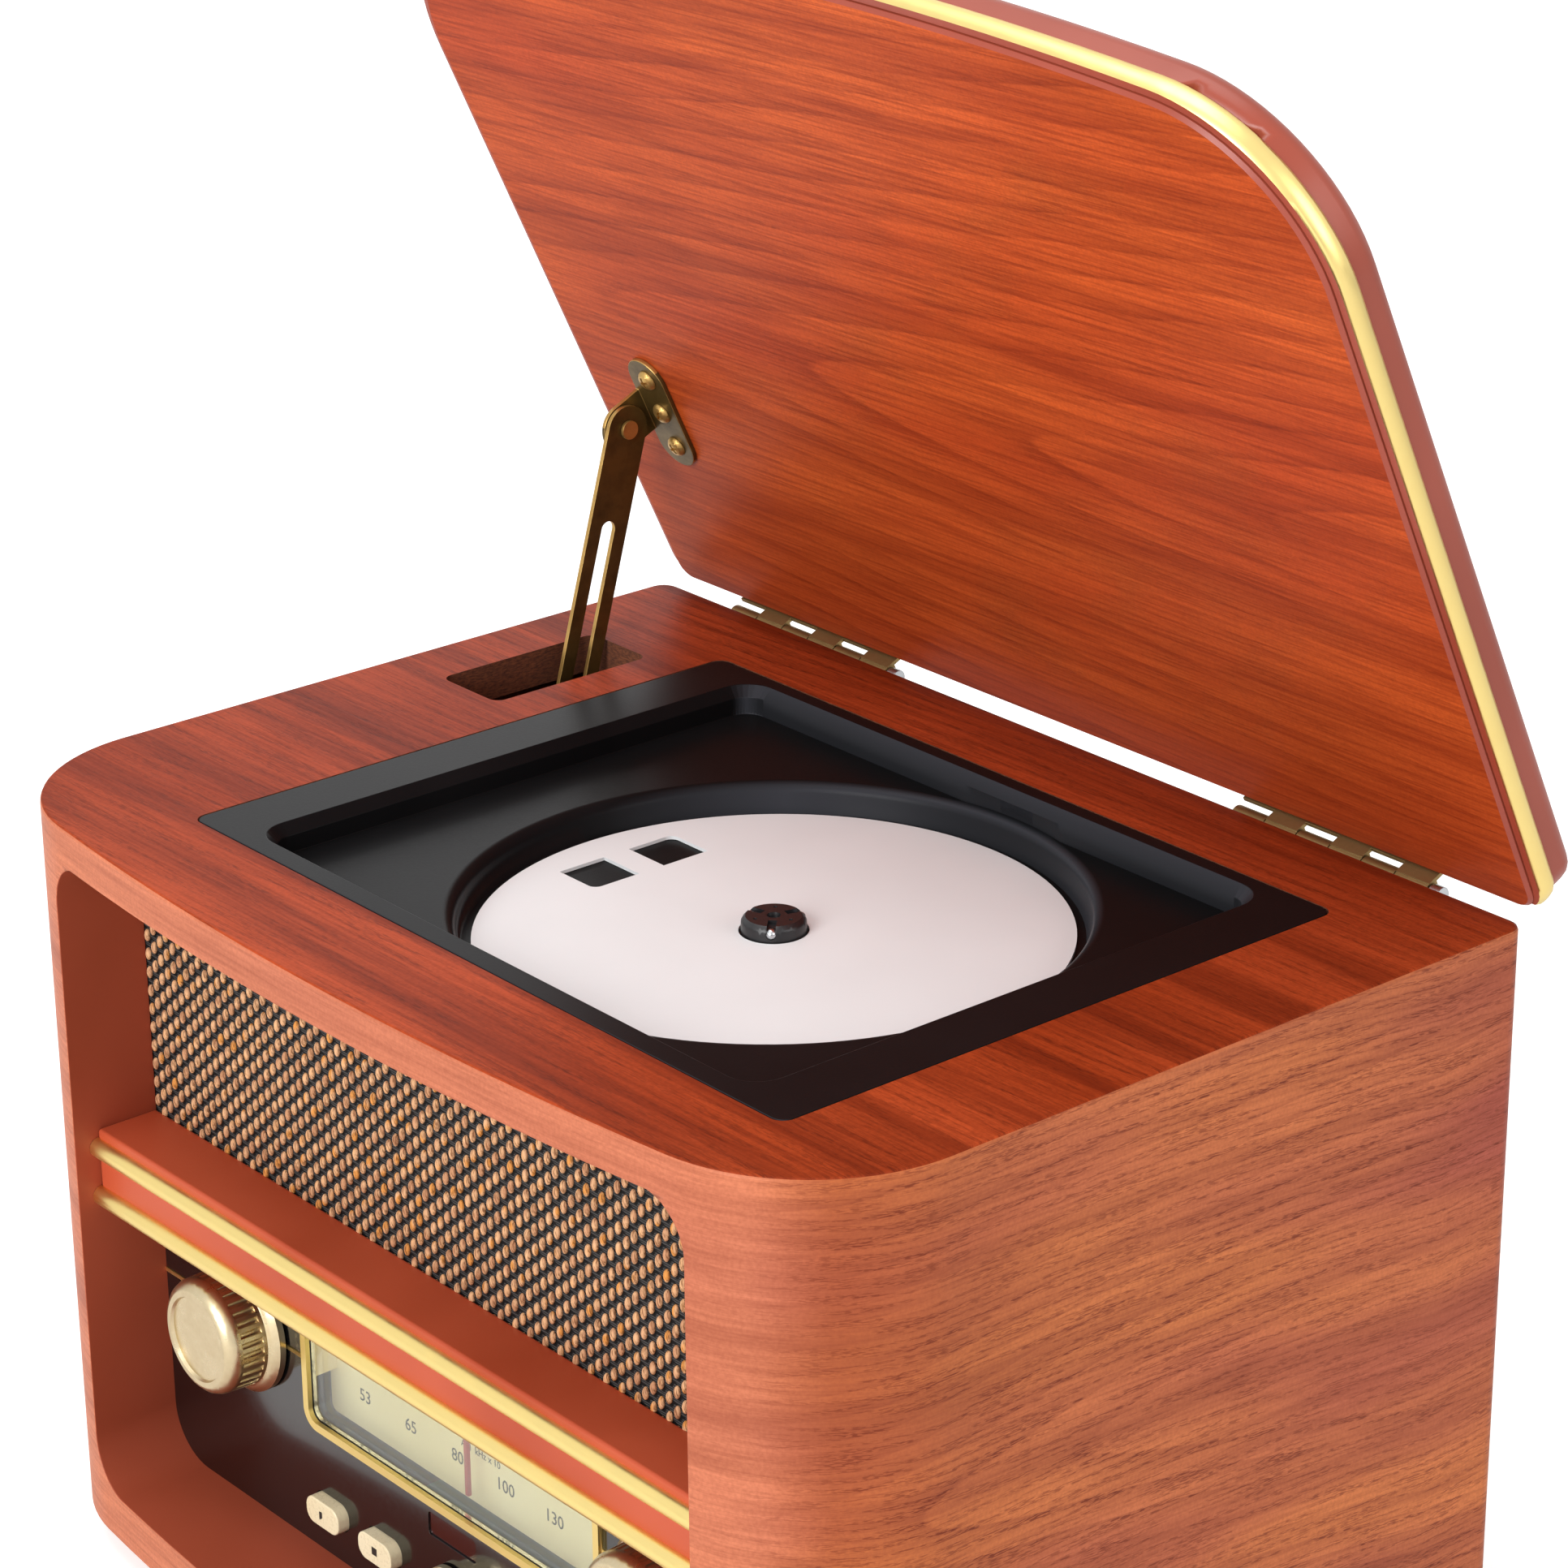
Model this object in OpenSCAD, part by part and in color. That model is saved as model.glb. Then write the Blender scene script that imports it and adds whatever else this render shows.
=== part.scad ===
// Table-top music center: bowed wooden cabinet, hinged lid on a slotted stay,
// top-loading disc deck, cloth grille, radio dial and knobs.
// Origin: on the table, under the middle of the cabinet. +X right, -Y front, +Z up.

/* [Cabinet] */
// Width of the cabinet
body_w = 295; // [285:1:310]
// Depth of the cabinet at the middle of its bowed front
body_d = 214; // [210:1:225]
// Height of the cabinet's top face above the table
top_z = 192; // [188:1:210]
// Thickness of the top board
board_t = 9.5; // [9:0.5:11]
// Thickness of the side walls
side_t = 12; // [10:0.5:13]
// Thickness of the base board
base_t = 9; // [8:0.5:10]
// Height of the rubber feet
foot_h = 7; // [5:0.5:9]
// Radius of the rubber feet
foot_r = 9; // [7:0.5:11]
// Radius of the bowed front
bow_r = 950; // [800:10:1200]
// Radius of the front corners, seen from above
corner_r = 42; // [36:1:46]
// Radius of the back corners, seen from above
back_r = 4.5; // [3.5:0.5:8]
// Easing of the top board's upper edge
edge_ease = 0.8; // [0.4:0.1:1.5]

/* [Front] */
// Width of the wood on each side of the recess
jamb_w = 33; // [31.5:0.5:36.5]
// Corner radius of the recess
recess_r = 13; // [9:0.5:15]
// Height of the wood under the recess
sill_h = 12; // [11:0.5:15]
// How far the grille cloth lies behind the middle of the bow
grille_set = 30; // [28:0.5:33]
// How far the rail's front lies behind the middle of the bow
rail_set = 13.6; // [11:0.2:17]
// Height of the grille that shows above the rail
grille_h = 71.2; // [70:0.2:76]
// Height of the rail
rail_h = 20; // [19:0.5:22]
// Diameter of the half-round gold beads
bead_d = 5; // [3:0.5:6]
// Height of the wood between the two beads
bead_gap = 7.6; // [5:0.2:7.8]
// Height of the wood above the upper bead
bead_top = 2.2; // [1:0.2:2.4]
// Thickness of the grille cloth
cloth_t = 0.8; // [0.5:0.1:1.2]
// Thickness of the baffle board
baffle_t = 6; // [5:0.5:8]
// How far the baffle and panel reach past the recess on each side
lap = 9; // [6:0.5:10]
// Thickness of the black control panel
panel_t = 3; // [2.5:0.5:4]

/* [Lid] */
// Angle at which the lid stands open
lid_open = 64.7; // [50:0.1:64.7]
// Gap between the cabinet and the closed lid
lid_gap = 0.5; // [0.3:0.1:1]
// Thickness of the lid's lower panel
lid_panel_t = 2.5; // [2.2:0.1:3]
// How far the lower panel lies inside the board, at the front and sides
panel_in = 1.7; // [1.6:0.1:2.4]
// Thickness of the lid's upper board
lid_board_t = 11.4; // [11:0.2:13]
// Rounding of the lid's upper edge
lid_round = 4; // [3:0.5:5]
// Radius of the lid's back corners, seen from above
lid_back_r = 6.5; // [4:0.5:8]
// Height of the gold strip round the lid
trim_h = 4.9; // [4.2:0.1:5.2]
// How far the gold strip stands proud
trim_proud = 1.1; // [0.8:0.1:1.4]
// How far the gold strip reaches below the board
trim_drop = 1.4; // [1:0.1:1.6]

/* [Hinges and stay] */
// Length of each butt hinge
hinge_l = 60; // [48:6:72]
// Distance of each hinge's middle from the cabinet's middle
hinge_x = 90; // [80:1:96]
// How far the pair of hinges stands to the left of that
hinge_shift = 2.2; // [0:0.2:4]
// Outer radius of the knuckles
knuckle_r = 2.4; // [2.2:0.1:2.6]
// Thickness of the hinge leaves
leaf_t = 1; // [0.8:0.1:1.2]
// Radius of the hinge pins
pin_r = 1.2; // [1:0.1:1.3]
// Depth of the hinge axis under the cabinet's top face
pin_drop = 2.7; // [2.5:0.1:3]
// Distance of the stay's pivot from the hinge axis
stay_arm_r = 65.8; // [64:0.1:67]
// Distance of the stay's pivot under the lid
stay_drop = 9.36; // [9:0.02:10]
// Lean of the open stay from upright
stay_lean = 15.75; // [15.5:0.05:16]
// Distance from the pivot to the guide pin with the lid open
stay_reach = 91; // [90:0.1:92]
// Width of the stay arm
stay_w = 12; // [10:0.5:13]
// Thickness of the stay arm and its bracket
stay_t = 1.2; // [1:0.1:1.5]
// Width of the slot in the stay arm
stay_slot_w = 4.2; // [4:0.1:4.8]
// Radius of the guide pin
guide_r = 1.5; // [1.2:0.1:1.6]
// Length of the stay's bracket plate
bracket_l = 33; // [32:0.5:36]
// Width of the stay's bracket plate
bracket_w = 13; // [12:0.5:15]
// Distance of the bracket's outer edge from the cabinet's left side
stay_in = 22.5; // [21.5:0.5:23.5]
// Width of the stay slot in the top board
slot_w = 22.4; // [21:0.2:23]
// Length of the stay slot in the top board
slot_l = 47; // [46:0.5:50]

/* [Disc deck] */
// Width of the top to the left of the black deck, which holds the stay slot
deck_left = 54.3; // [50:0.1:56]
// Width of the top to the right of the deck
deck_right = 32.7; // [30:0.1:35]
// Depth of the black deck
deck_d = 156; // [156:1:160]
// Distance of the deck's middle behind the cabinet's middle
deck_y = 3.2; // [2:0.2:4.2]
// Corner radius of the deck
deck_r = 3; // [2:0.5:5]
// Thickness of the deck's flange
flange_t = 2.6; // [2:0.2:3]
// Depth of the rectangular pocket
pocket_depth = 6.8; // [6:0.2:7.4]
// Width of the rim at the left and right
rim_side = 15.5; // [13:0.5:17]
// Width of the rim at the front
rim_front = 5.5; // [5:0.1:6]
// Width of the rim at the back
rim_back = 3.8; // [3.6:0.1:4.4]
// Chamfer round the pocket
chamfer = 2.5; // [1.5:0.1:2.6]
// Corner radius of the pocket
pocket_r = 8; // [6:0.5:10]
// Wall of the moulded deck
deck_wall = 2; // [1.6:0.1:2.2]
// Distance of the spindle from the deck's middle, to the right
spindle_dx = 8.7; // [7:0.1:10]
// Width of the deck before and behind the disc well
well_rim = 4.5; // [4.4:0.1:6]
// Depth of the well's floor under the top face
well_depth = 14; // [13.4:0.1:14.8]
// Width of the gap between the cover card and the well's lip
card_gap = 6.3; // [5.5:0.1:8]
// Thickness of the cover card
card_t = 0.8; // [0.6:0.1:1.2]
// Width of each finger window in the card, along its radius
window_w = 12.9; // [11:0.1:14]
// Length of each finger window in the card
window_l = 13; // [11:0.2:14]
// Radius of the spindle hub, which fits the 15 mm hole of a disc
hub_r = 7.45; // [7.4:0.01:7.48]
// Height of the hub above the well's floor
hub_h = 4.5; // [4.4:0.1:5.2]
// Radius of the flange under the disc
flange_r = 15; // [13:0.5:16]
// Travel of the laser pickup towards the rim
pickup_travel = 34; // [30:1:35]

/* [Controls] */
// Radius of the two large knobs
knob_r = 17; // [15:0.5:19]
// How far the large knobs stand out of the panel
knob_l = 14; // [12:0.5:16]
// Distance of the large knobs' axes from the sides of the recess
knob_in = 34.5; // [30:0.5:38]
// Radius of the small function knob
small_knob_r = 7.5; // [6:0.5:8.5]
// Height of the function knob and the buttons above the table
row_z = 31; // [30.5:0.5:33]
// Radius of the knobs' shafts
shaft_r = 3; // [2.5:0.1:3.2]
// Gap between the large knobs and the dial window
dial_gap = 9; // [8:0.5:12]
// Height of the dial window
dial_h = 30; // [26:1:31]
// Height of the dial's middle and of the large knobs' axes above the table
dial_z = 68.5; // [67.5:0.5:69.5]
// Width of each push button
button_w = 13; // [11:0.5:14]
// Height of each push button
button_h = 7; // [6:0.5:8]
// How far the buttons stand out of the panel
button_out = 3; // [2.5:0.1:4]
// Travel of the push buttons
button_travel = 1.2; // [0.8:0.1:1.5]

/* [Sound and power] */
// Outer radius of each speaker
speaker_r = 33; // [31:0.5:33.5]
// Distance of each speaker's middle from the side of the recess
speaker_in = 40.5; // [38:0.5:44]
// Depth of each speaker behind the baffle
speaker_d = 29; // [28:1:31]
// Thickness of the back panel
back_t = 3; // [2.5:0.5:4]

/* [Hidden] */

// Clearances: pieces laid or glued together, loose fits, and shafts that run
seat = 0.05;
gap = 0.3;
run = 0.05;
cut = 1;

wood = "#a8432a";
raw_wood = "#9a6a45";
gold = "#e6c56a";
bronze = "#8a7040";
black = "#262324";
steel = "#b9bcc0";

// Cabinet levels and faces
front_y = -body_d/2;
back_y = body_d/2;
board_z = top_z - board_t;
sill_z = foot_h + sill_h;
inner_x = body_w/2 - side_t;
grille_y = front_y + grille_set;
rail_y = front_y + rail_set;
rail_top = board_z - grille_h;
rail_z = rail_top - rail_h;
base_top = foot_h + base_t;
baffle_back = grille_y + cloth_t + baffle_t;
panel_back = grille_y + panel_t;
recess_w = body_w - 2*jamb_w;
insert_w = recess_w + 2*lap;
knob_x = recess_w/2 - knob_in;
dial_w = 2*(knob_x - knob_r - dial_gap);
speaker_x = recess_w/2 - speaker_in;
deck_w = body_w - deck_left - deck_right;
deck_x = (deck_left - deck_right)/2;
stay_x = body_w/2 - stay_in;
pin_y = back_y + knuckle_r + 0.3;
pin_z = top_z - pin_drop;
hinge_rail_h = 22;
hinge_rail_d = 12;
recess_lift = 0.6;
ledge = 3.2;
hub_x = deck_x + spindle_dx;
hub_y = deck_y;
floor_z = top_z - well_depth;
floor_t = 2.2;
well_r = deck_d/2 - well_rim;
card_r = well_r - card_gap;
well_out = deck_d/2 - ledge - 0.5;

// Outline of the cabinet, seen from above, drawn in by inset all round
bow_y = front_y + bow_r;
corner_x = body_w/2 - corner_r;
corner_y = bow_y - sqrt(pow(bow_r - corner_r, 2) - pow(corner_x, 2));
bow_half = atan2(corner_x, bow_y - corner_y);
function arc(cx, cy, r, a0, a1, n) = [for (i = [0:n]) let (a = a0 + (a1 - a0)*i/n)
    [cx + r*cos(a), cy + r*sin(a)]];
function plan_points(inset, rb) = concat(
    arc(0, bow_y, bow_r - inset, -90 - bow_half, -90 + bow_half, 20),
    arc(corner_x, corner_y, corner_r - inset, -90 + bow_half, 0, 18),
    arc(body_w/2 - rb, back_y - rb, rb - inset, 0, 90, 6),
    arc(-body_w/2 + rb, back_y - rb, rb - inset, 90, 180, 6),
    arc(-corner_x, corner_y, corner_r - inset, 180, 270 - bow_half, 18));
module plan(inset, z0, h, rb = back_r) {
    translate([0, 0, z0]) linear_extrude(h) polygon(plan_points(inset, rb));
}

// A rectangle with round corners, made of squares and circles
module round_rect(w, d, r) {
    square([w - 2*r, d], center = true);
    square([w, d - 2*r], center = true);
    for (x = [-1, 1], y = [-1, 1])
        translate([x*(w/2 - r), y*(d/2 - r)]) circle(r, $fn = 48);
}
// A plate standing in the front, with its middle at x, z and its faces at y0 and y0 + t
module front_plate(x, z, w, h, r, y0, t) {
    translate([x, y0 + t, z]) rotate([90, 0, 0]) linear_extrude(t) round_rect(w, h, r);
}
// A round bar along Y from y0, length l
module bar_y(x, z, r, y0, l, fn = 48) {
    translate([x, y0, z]) rotate([-90, 0, 0]) cylinder(h = l, r = r, $fn = fn);
}
// A round bar along X from x0, length l
module bar_x(y, z, r, x0, l, fn = 48) {
    translate([x0, y, z]) rotate([0, 90, 0]) cylinder(h = l, r = r, $fn = fn);
}

// The wrapped cabinet: bowed front frame and two side walls in one veneered shell
module cabinet_body() {
    h = board_z - foot_h;
    recess_h = board_z + recess_lift - sill_z;
    color(wood) difference() {
        plan(0, foot_h, h);
        translate([-inner_x, grille_y, foot_h - cut])
            cube([2*inner_x, body_d, h + 2*cut]);
        front_plate(0, sill_z + recess_h/2, recess_w, recess_h, recess_r,
            front_y - cut, grille_set + 2*cut);
    }
}

// Deck opening: the flange lies in a rebate, its moulding hangs through the board
deck_fit = 0.4;
slot_r = 3;
slot_x = -stay_x - 4 + slot_w/2;
slot_back = 64.9;
slot_y = pin_y - slot_back;
module top_board() {
    color(wood) difference() {
        hull() {
            plan(0, board_z, board_t - edge_ease);
            plan(0.3*edge_ease, board_z, board_t - 0.3*edge_ease);
            plan(edge_ease, board_z, board_t);
        }
        translate([deck_x, deck_y, top_z - flange_t]) linear_extrude(board_t)
            round_rect(deck_w + 2*deck_fit, deck_d + 2*deck_fit, deck_r + deck_fit);
        translate([deck_x, deck_y, board_z - cut]) linear_extrude(board_t)
            round_rect(deck_w - 2*ledge, deck_d - 2*ledge, 5);
        translate([slot_x, slot_y, board_z - cut]) linear_extrude(board_t + 2*cut)
            round_rect(slot_w, slot_l, slot_r);
    }
}

module base_board() {
    color(raw_wood) difference() {
        translate([-inner_x + seat, grille_y + seat, foot_h])
            cube([2*(inner_x - seat), back_y - grille_y - 2*seat, base_t]);
        // Air slots under the main board
        for (i = [-5:4])
            translate([pcb_x + i*10, pcb_y + 15, foot_h - cut]) linear_extrude(base_t + 2*cut)
                round_rect(4, 50, 1.9);
    }
}

rail_inner_y = back_y - hinge_rail_d;
module hinge_rail() {
    color(raw_wood) translate([-inner_x + seat, rail_inner_y, board_z - hinge_rail_h])
        cube([2*(inner_x - seat), hinge_rail_d, hinge_rail_h - seat]);
}

cleat = 8;
back_set = 3;
back_face = back_y - back_set;
module back_cleats() {
    z0 = base_top + seat;
    color(raw_wood) for (s = [-1, 1])
        translate([s*(inner_x - cleat/2 - seat) - cleat/2, back_face - back_t - cleat - seat, z0])
            cube([cleat, cleat, board_z - hinge_rail_h - z0 - seat]);
}

inlet_side = 40.5;
inlet_x = -inner_x + inlet_side;
inlet_z = 40;
inlet_w = 24;
inlet_h = 16;
jack_side = 55.5;
jack_x = inner_x - jack_side;
jack_z = 40;
jack_w = 62;
jack_h = 22;
vent_pitch = 6;
module back_panel() {
    z0 = base_top + seat;
    z1 = board_z - hinge_rail_h - seat;
    color("#2b2320") difference() {
        translate([-inner_x + seat, back_face - back_t, z0])
            cube([2*(inner_x - seat), back_t, z1 - z0]);
        for (i = [-4:4])
            front_plate(0, 100 + i*vent_pitch, 90, 2.6, 1.25, back_face - back_t - cut, back_t + 2*cut);
        front_plate(inlet_x, inlet_z, inlet_w + 2*gap, inlet_h + 2*gap, 3, back_face - back_t - cut,
            back_t + 2*cut);
        front_plate(jack_x, jack_z, jack_w - 8, jack_h - 8, 2, back_face - back_t - cut, back_t + 2*cut);
    }
}

foot_in = 24;
foot_x = body_w/2 - foot_in;
foot_y = body_d/2 - foot_in;
module feet() {
    color("#1c1b1c") for (x = [-1, 1], y = [-1, 1])
        translate([x*foot_x, y*foot_y, 0]) rotate_extrude($fn = 48)
            polygon([[2.2, foot_h], [foot_r, foot_h], [foot_r - 1.2, 0.6], [foot_r - 1.8, 0],
                [4.5, 0], [4.5, 3], [2.2, 3]]);
}

// Grille: cloth laid over a baffle board that is screwed behind the front frame
speaker_z = board_z - speaker_r - 1.5;
insert_top = board_z - seat;
module baffle() {
    z0 = rail_z + rail_h/2;
    color("#2a2522") difference() {
        translate([-insert_w/2, grille_y + cloth_t, z0]) cube([insert_w, baffle_t, insert_top - z0]);
        for (s = [-1, 1])
            bar_y(s*speaker_x, speaker_z, speaker_r - 4, grille_y, cloth_t + baffle_t + cut, 64);
        // Hollow in the back for the round disc well
        translate([hub_x, hub_y, floor_z - floor_t - 1])
            cylinder(h = well_depth + floor_t + 2, r = well_out + 0.6, $fn = 128);
    }
}
module grille_cloth() {
    z0 = rail_z + rail_h/2;
    color("#4d4034") translate([-insert_w/2, grille_y + seat, z0])
        cube([insert_w, cloth_t - 2*seat, insert_top - z0]);
}

module front_rail() {
    color(wood) translate([-recess_w/2 + seat, rail_y, rail_z])
        cube([recess_w - 2*seat, grille_y - rail_y, rail_h]);
}
bead_z = rail_top - bead_top - bead_d/2;
line_h = 1;
line_t = 0.3;
bezel_w = 2;
bezel_t = 1.2;
module rail_beads() {
    pitch = bead_d + bead_gap;
    line_x = dial_w/2 + bezel_w;
    // Thin gold line across the panel, behind the large knobs
    color(gold) for (s = [-1, 1]) difference() {
        translate([s > 0 ? line_x : -recess_w/2 + seat, grille_y - line_t, dial_z - line_h/2])
            cube([recess_w/2 - seat - line_x, line_t, line_h]);
        bar_y(s*knob_x, dial_z, shaft_r + 1.5, grille_y - cut, 2*cut);
    }
    color(gold) difference() {
        front_plate(0, dial_z, dial_w + 2*bezel_w, dial_h + 2*bezel_w, 3 + bezel_w,
            grille_y - bezel_t, bezel_t);
        front_plate(0, dial_z, dial_w, dial_h, 3, grille_y - bezel_t - cut, bezel_t + 2*cut);
    }
    color(gold) for (i = [0, 1])
        intersection() {
            bar_x(rail_y, bead_z - i*pitch, bead_d/2, -recess_w/2 + 2*seat, recess_w - 4*seat);
            translate([-recess_w/2, rail_y - bead_d, rail_z - rail_h])
                cube([recess_w, bead_d, 3*rail_h]);
        }
}

// Control panel: black plate with the dial window, shaft holes and button holes
button_x = [-48, -27, 27, 48];
glass_lip = 2;
display_w = 18;
display_h = 6;
display_z = (dial_z - dial_h/2 + row_z + small_knob_r)/2;
module control_panel() {
    z0 = base_top + seat;
    color(black) difference() {
        translate([-insert_w/2, grille_y, z0]) cube([insert_w, panel_t, rail_z + rail_h/2 - seat - z0]);
        front_plate(0, dial_z, dial_w, dial_h, 3, grille_y - cut, panel_t + 2*cut);
        front_plate(0, display_z, display_w, display_h, 1, grille_y - cut, panel_t + 2*cut);
        for (s = [-1, 1]) bar_y(s*knob_x, dial_z, shaft_r + 1.5, grille_y - cut, panel_t + 2*cut);
        bar_y(0, row_z, shaft_r + 0.5, grille_y - cut, panel_t + 2*cut);
        for (x = button_x)
            front_plate(x, row_z, button_w + 2*gap, button_h + 2*gap, 3 + gap, grille_y - cut,
                panel_t + 2*cut);
    }
}
module dial_glass() {
    color("#cfe0d8", 0.35) union() {
        front_plate(0, dial_z, dial_w - 2*seat, dial_h - 2*seat, 3, grille_y + 0.3, panel_t - 0.2);
        front_plate(0, dial_z, dial_w + 2*glass_lip, dial_h + 1, 3, panel_back + seat, 1);
    }
}
scale_y = panel_back + 8;
scale_t = 1.2;
leg_x = dial_w/2 + 3.5;
leg_w = 2.6;
// The pointer rides on a round rod held between the scale's two legs
rod_y = panel_back + 4.2;
rod_z = dial_z + dial_h/2 + 0.5;
rod_r = 0.9;
rod_in = 1;
pointer_travel = dial_w/2 - 9;
module dial_scale() {
    color("#e8dcb8") difference() {
        union() {
            front_plate(0, dial_z, dial_w + 10, dial_h + 6, 2, scale_y, scale_t);
            for (s = [-1, 1]) translate([s*leg_x - leg_w/2, panel_back + seat, dial_z - 6])
                cube([leg_w, scale_y - panel_back, rod_z + 2 - dial_z + 6]);
        }
        bar_x(rod_y, rod_z, rod_r + 0.02, -leg_x + leg_w/2 - rod_in - 0.02,
            2*leg_x - leg_w + 2*rod_in + 0.04, 32);
    }
}
module dial_rail() {
    color(steel) bar_x(rod_y, rod_z, rod_r, -leg_x + leg_w/2 - rod_in, 2*leg_x - leg_w + 2*rod_in, 32);
}
module dial_pointer() {
    color("#c8281e") difference() {
        union() {
            translate([-0.6, rod_y - 0.5, dial_z - dial_h/2 + 1.5]) cube([1.2, 1, dial_h - 2]);
            translate([-4, rod_y - 1.9, rod_z - 1.9]) cube([8, 3.8, 3.8]);
        }
        bar_x(rod_y, rod_z, rod_r + run, -6, 12, 32);
    }
}
module track_display() {
    color("#3a0d0a") front_plate(0, display_z, display_w - 2*seat, display_h - 2*seat, 1,
        grille_y + 0.4, panel_t + 2);
}

// A knob turned on its axis, skirt at the panel and fine ribs round the grip
module turned_knob(x, z, r, l, bore_r, bore_l, ribs) {
    y0 = grille_y - 0.6;
    translate([x, y0, z]) rotate([90, 0, 0]) difference() {
        rotate_extrude($fn = 96) polygon(concat(
            [[0, 0], [r, 0], [r, 1.6], [r - 1.2, 2.8], [0.86*r, 3.4]],
            [[0.84*r, l - 3], [0.84*r - 0.6, l - 1.5], [0.84*r - 1.6, l - 0.5],
                [0.84*r - 2.6, l], [0.62*r, l], [0.6*r, l - 0.8], [0, l - 0.8]]));
        translate([0, 0, -cut]) cylinder(h = bore_l + cut, r = bore_r, $fn = 48);
        for (i = [0:ribs - 1]) rotate([0, 0, 360*i/ribs])
            translate([0.87*r, 0, 4.4]) cylinder(h = l - 8.4, r = 0.05*r, $fn = 16);
    }
}
shaft_fit = 0.02;
module tuning_knob() {
    color(gold) turned_knob(knob_x, dial_z, knob_r, knob_l, shaft_r + shaft_fit, 10, 36);
    color(steel) bar_y(knob_x, dial_z, shaft_r, grille_y - 9, panel_t + 9 + 22);
}
module tuning_bush() {
    color(steel) difference() {
        union() {
            bar_y(knob_x, dial_z, shaft_r + 1.5 - seat, grille_y + seat, panel_t + 8);
            bar_y(knob_x, dial_z, shaft_r + 4, panel_back + seat, 2.5);
        }
        bar_y(knob_x, dial_z, shaft_r + run, grille_y - cut, panel_t + 12);
    }
}
// The drum turns the capacitor through half a turn while the pointer crosses the scale
drum_r = 2*pointer_travel/PI;
drum_x = 42;
drum_z = 70;
drum_y = panel_back + 16;
drum_t = 4;
capacitor_y = drum_y + drum_t + 3;
capacitor_w = 22;
capacitor_l = 16;
capacitor_z = drum_z - capacitor_w/2;
module dial_drum() {
    color("#d8d2c4") difference() {
        union() {
            translate([drum_x, drum_y, drum_z]) rotate([-90, 0, 0]) rotate_extrude($fn = 72)
                polygon([[0, 0], [drum_r, 0], [drum_r, 0.8], [drum_r - 1, 1.6], [drum_r - 1, 2.4],
                    [drum_r, 3.2], [drum_r, drum_t], [0, drum_t]]);
            bar_y(drum_x, drum_z, 5, drum_y, drum_t + 2);
        }
        for (i = [0:5]) rotate_about_y(drum_x, drum_z, 60*i)
            bar_y(drum_x + drum_r*0.55, drum_z, drum_r*0.2, drum_y - cut, drum_t + 2*cut, 32);
    }
    color(steel) bar_y(drum_x, drum_z, 2, drum_y + drum_t + 2, 6);
}
module rotate_about_y(x, z, a) {
    translate([x, 0, z]) rotate([0, a, 0]) translate([-x, 0, -z]) children();
}
module tuning_capacitor() {
    color("#c9c4b4") difference() {
        translate([drum_x - capacitor_w/2, capacitor_y, capacitor_z])
            cube([capacitor_w, capacitor_l, capacitor_w]);
        bar_y(drum_x, drum_z, 2 + run, capacitor_y - cut, 9);
    }
    // Foot that stands the capacitor on the main board
    color("#c9c4b4") for (s = [-1, 1])
        translate([drum_x + s*8 - 1.5, capacitor_y + 7, board_level + seat])
            cube([3, 6, capacitor_z - board_level - seat]);
}
module volume_knob() {
    color(gold) turned_knob(-knob_x, dial_z, knob_r, knob_l, shaft_r + shaft_fit, 10, 36);
    color(steel) bar_y(-knob_x, dial_z, shaft_r, grille_y - 9, panel_t + 9 + 10);
}
// A rotary control: threaded neck in the panel, round body behind it
module rotary_control(x, z, neck_r, body_r, body_l) {
    difference() {
        union() {
            bar_y(x, z, neck_r - seat, grille_y + seat, panel_t + 2);
            bar_y(x, z, neck_r + 2.5, panel_back + seat, 2);
            bar_y(x, z, body_r, panel_back + 2, body_l);
        }
        bar_y(x, z, shaft_r + run, grille_y - cut, panel_t + 12.5);
    }
}
module volume_control() {
    color("#7f8488") rotary_control(-knob_x, dial_z, shaft_r + 1.5, 9, 11);
}
module function_knob() {
    color(gold) turned_knob(0, row_z, small_knob_r, 11, shaft_r + shaft_fit, 6, 18);
    color(steel) bar_y(0, row_z, shaft_r, grille_y - 6, panel_t + 6 + 10);
}
module function_switch() {
    color("#7f8488") rotary_control(0, row_z, shaft_r + 0.5, 8, 12);
}

// Push buttons: a pill-shaped cap on a stem with a stop collar behind the panel
stem_l = 3;
switch_y = panel_back + 2*seat + 1 + stem_l + button_travel;
module push_button(x) {
    color("#efe3c2") union() {
        front_plate(x, row_z, button_w, button_h, 3, grille_y - button_out, panel_t + button_out + 3*seat);
        front_plate(x, row_z, button_w + 3, button_h + 2, 3, panel_back + 2*seat, 1);
        bar_y(x, row_z, 2, panel_back + 1, stem_l + 2*seat);
    }
}
module play_button() { push_button(button_x[0]); }
module stop_button() { push_button(button_x[1]); }
module back_button() { push_button(button_x[2]); }
module next_button() { push_button(button_x[3]); }
switch_w = 6;
switch_l = 4;
board_w = 2*button_x[3] + 28;
module button_board() {
    color("#2f6b3f") difference() {
        translate([-board_w/2, switch_y + switch_l, base_top + seat])
            cube([board_w, 1.6, row_z + 9 - base_top]);
        bar_y(0, row_z, 9.5, switch_y, 8);
    }
    color("#2c2c2e") for (x = button_x)
        translate([x - switch_w/2, switch_y + gap, row_z - switch_w/2])
            cube([switch_w, switch_l - gap, switch_w]);
}

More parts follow.
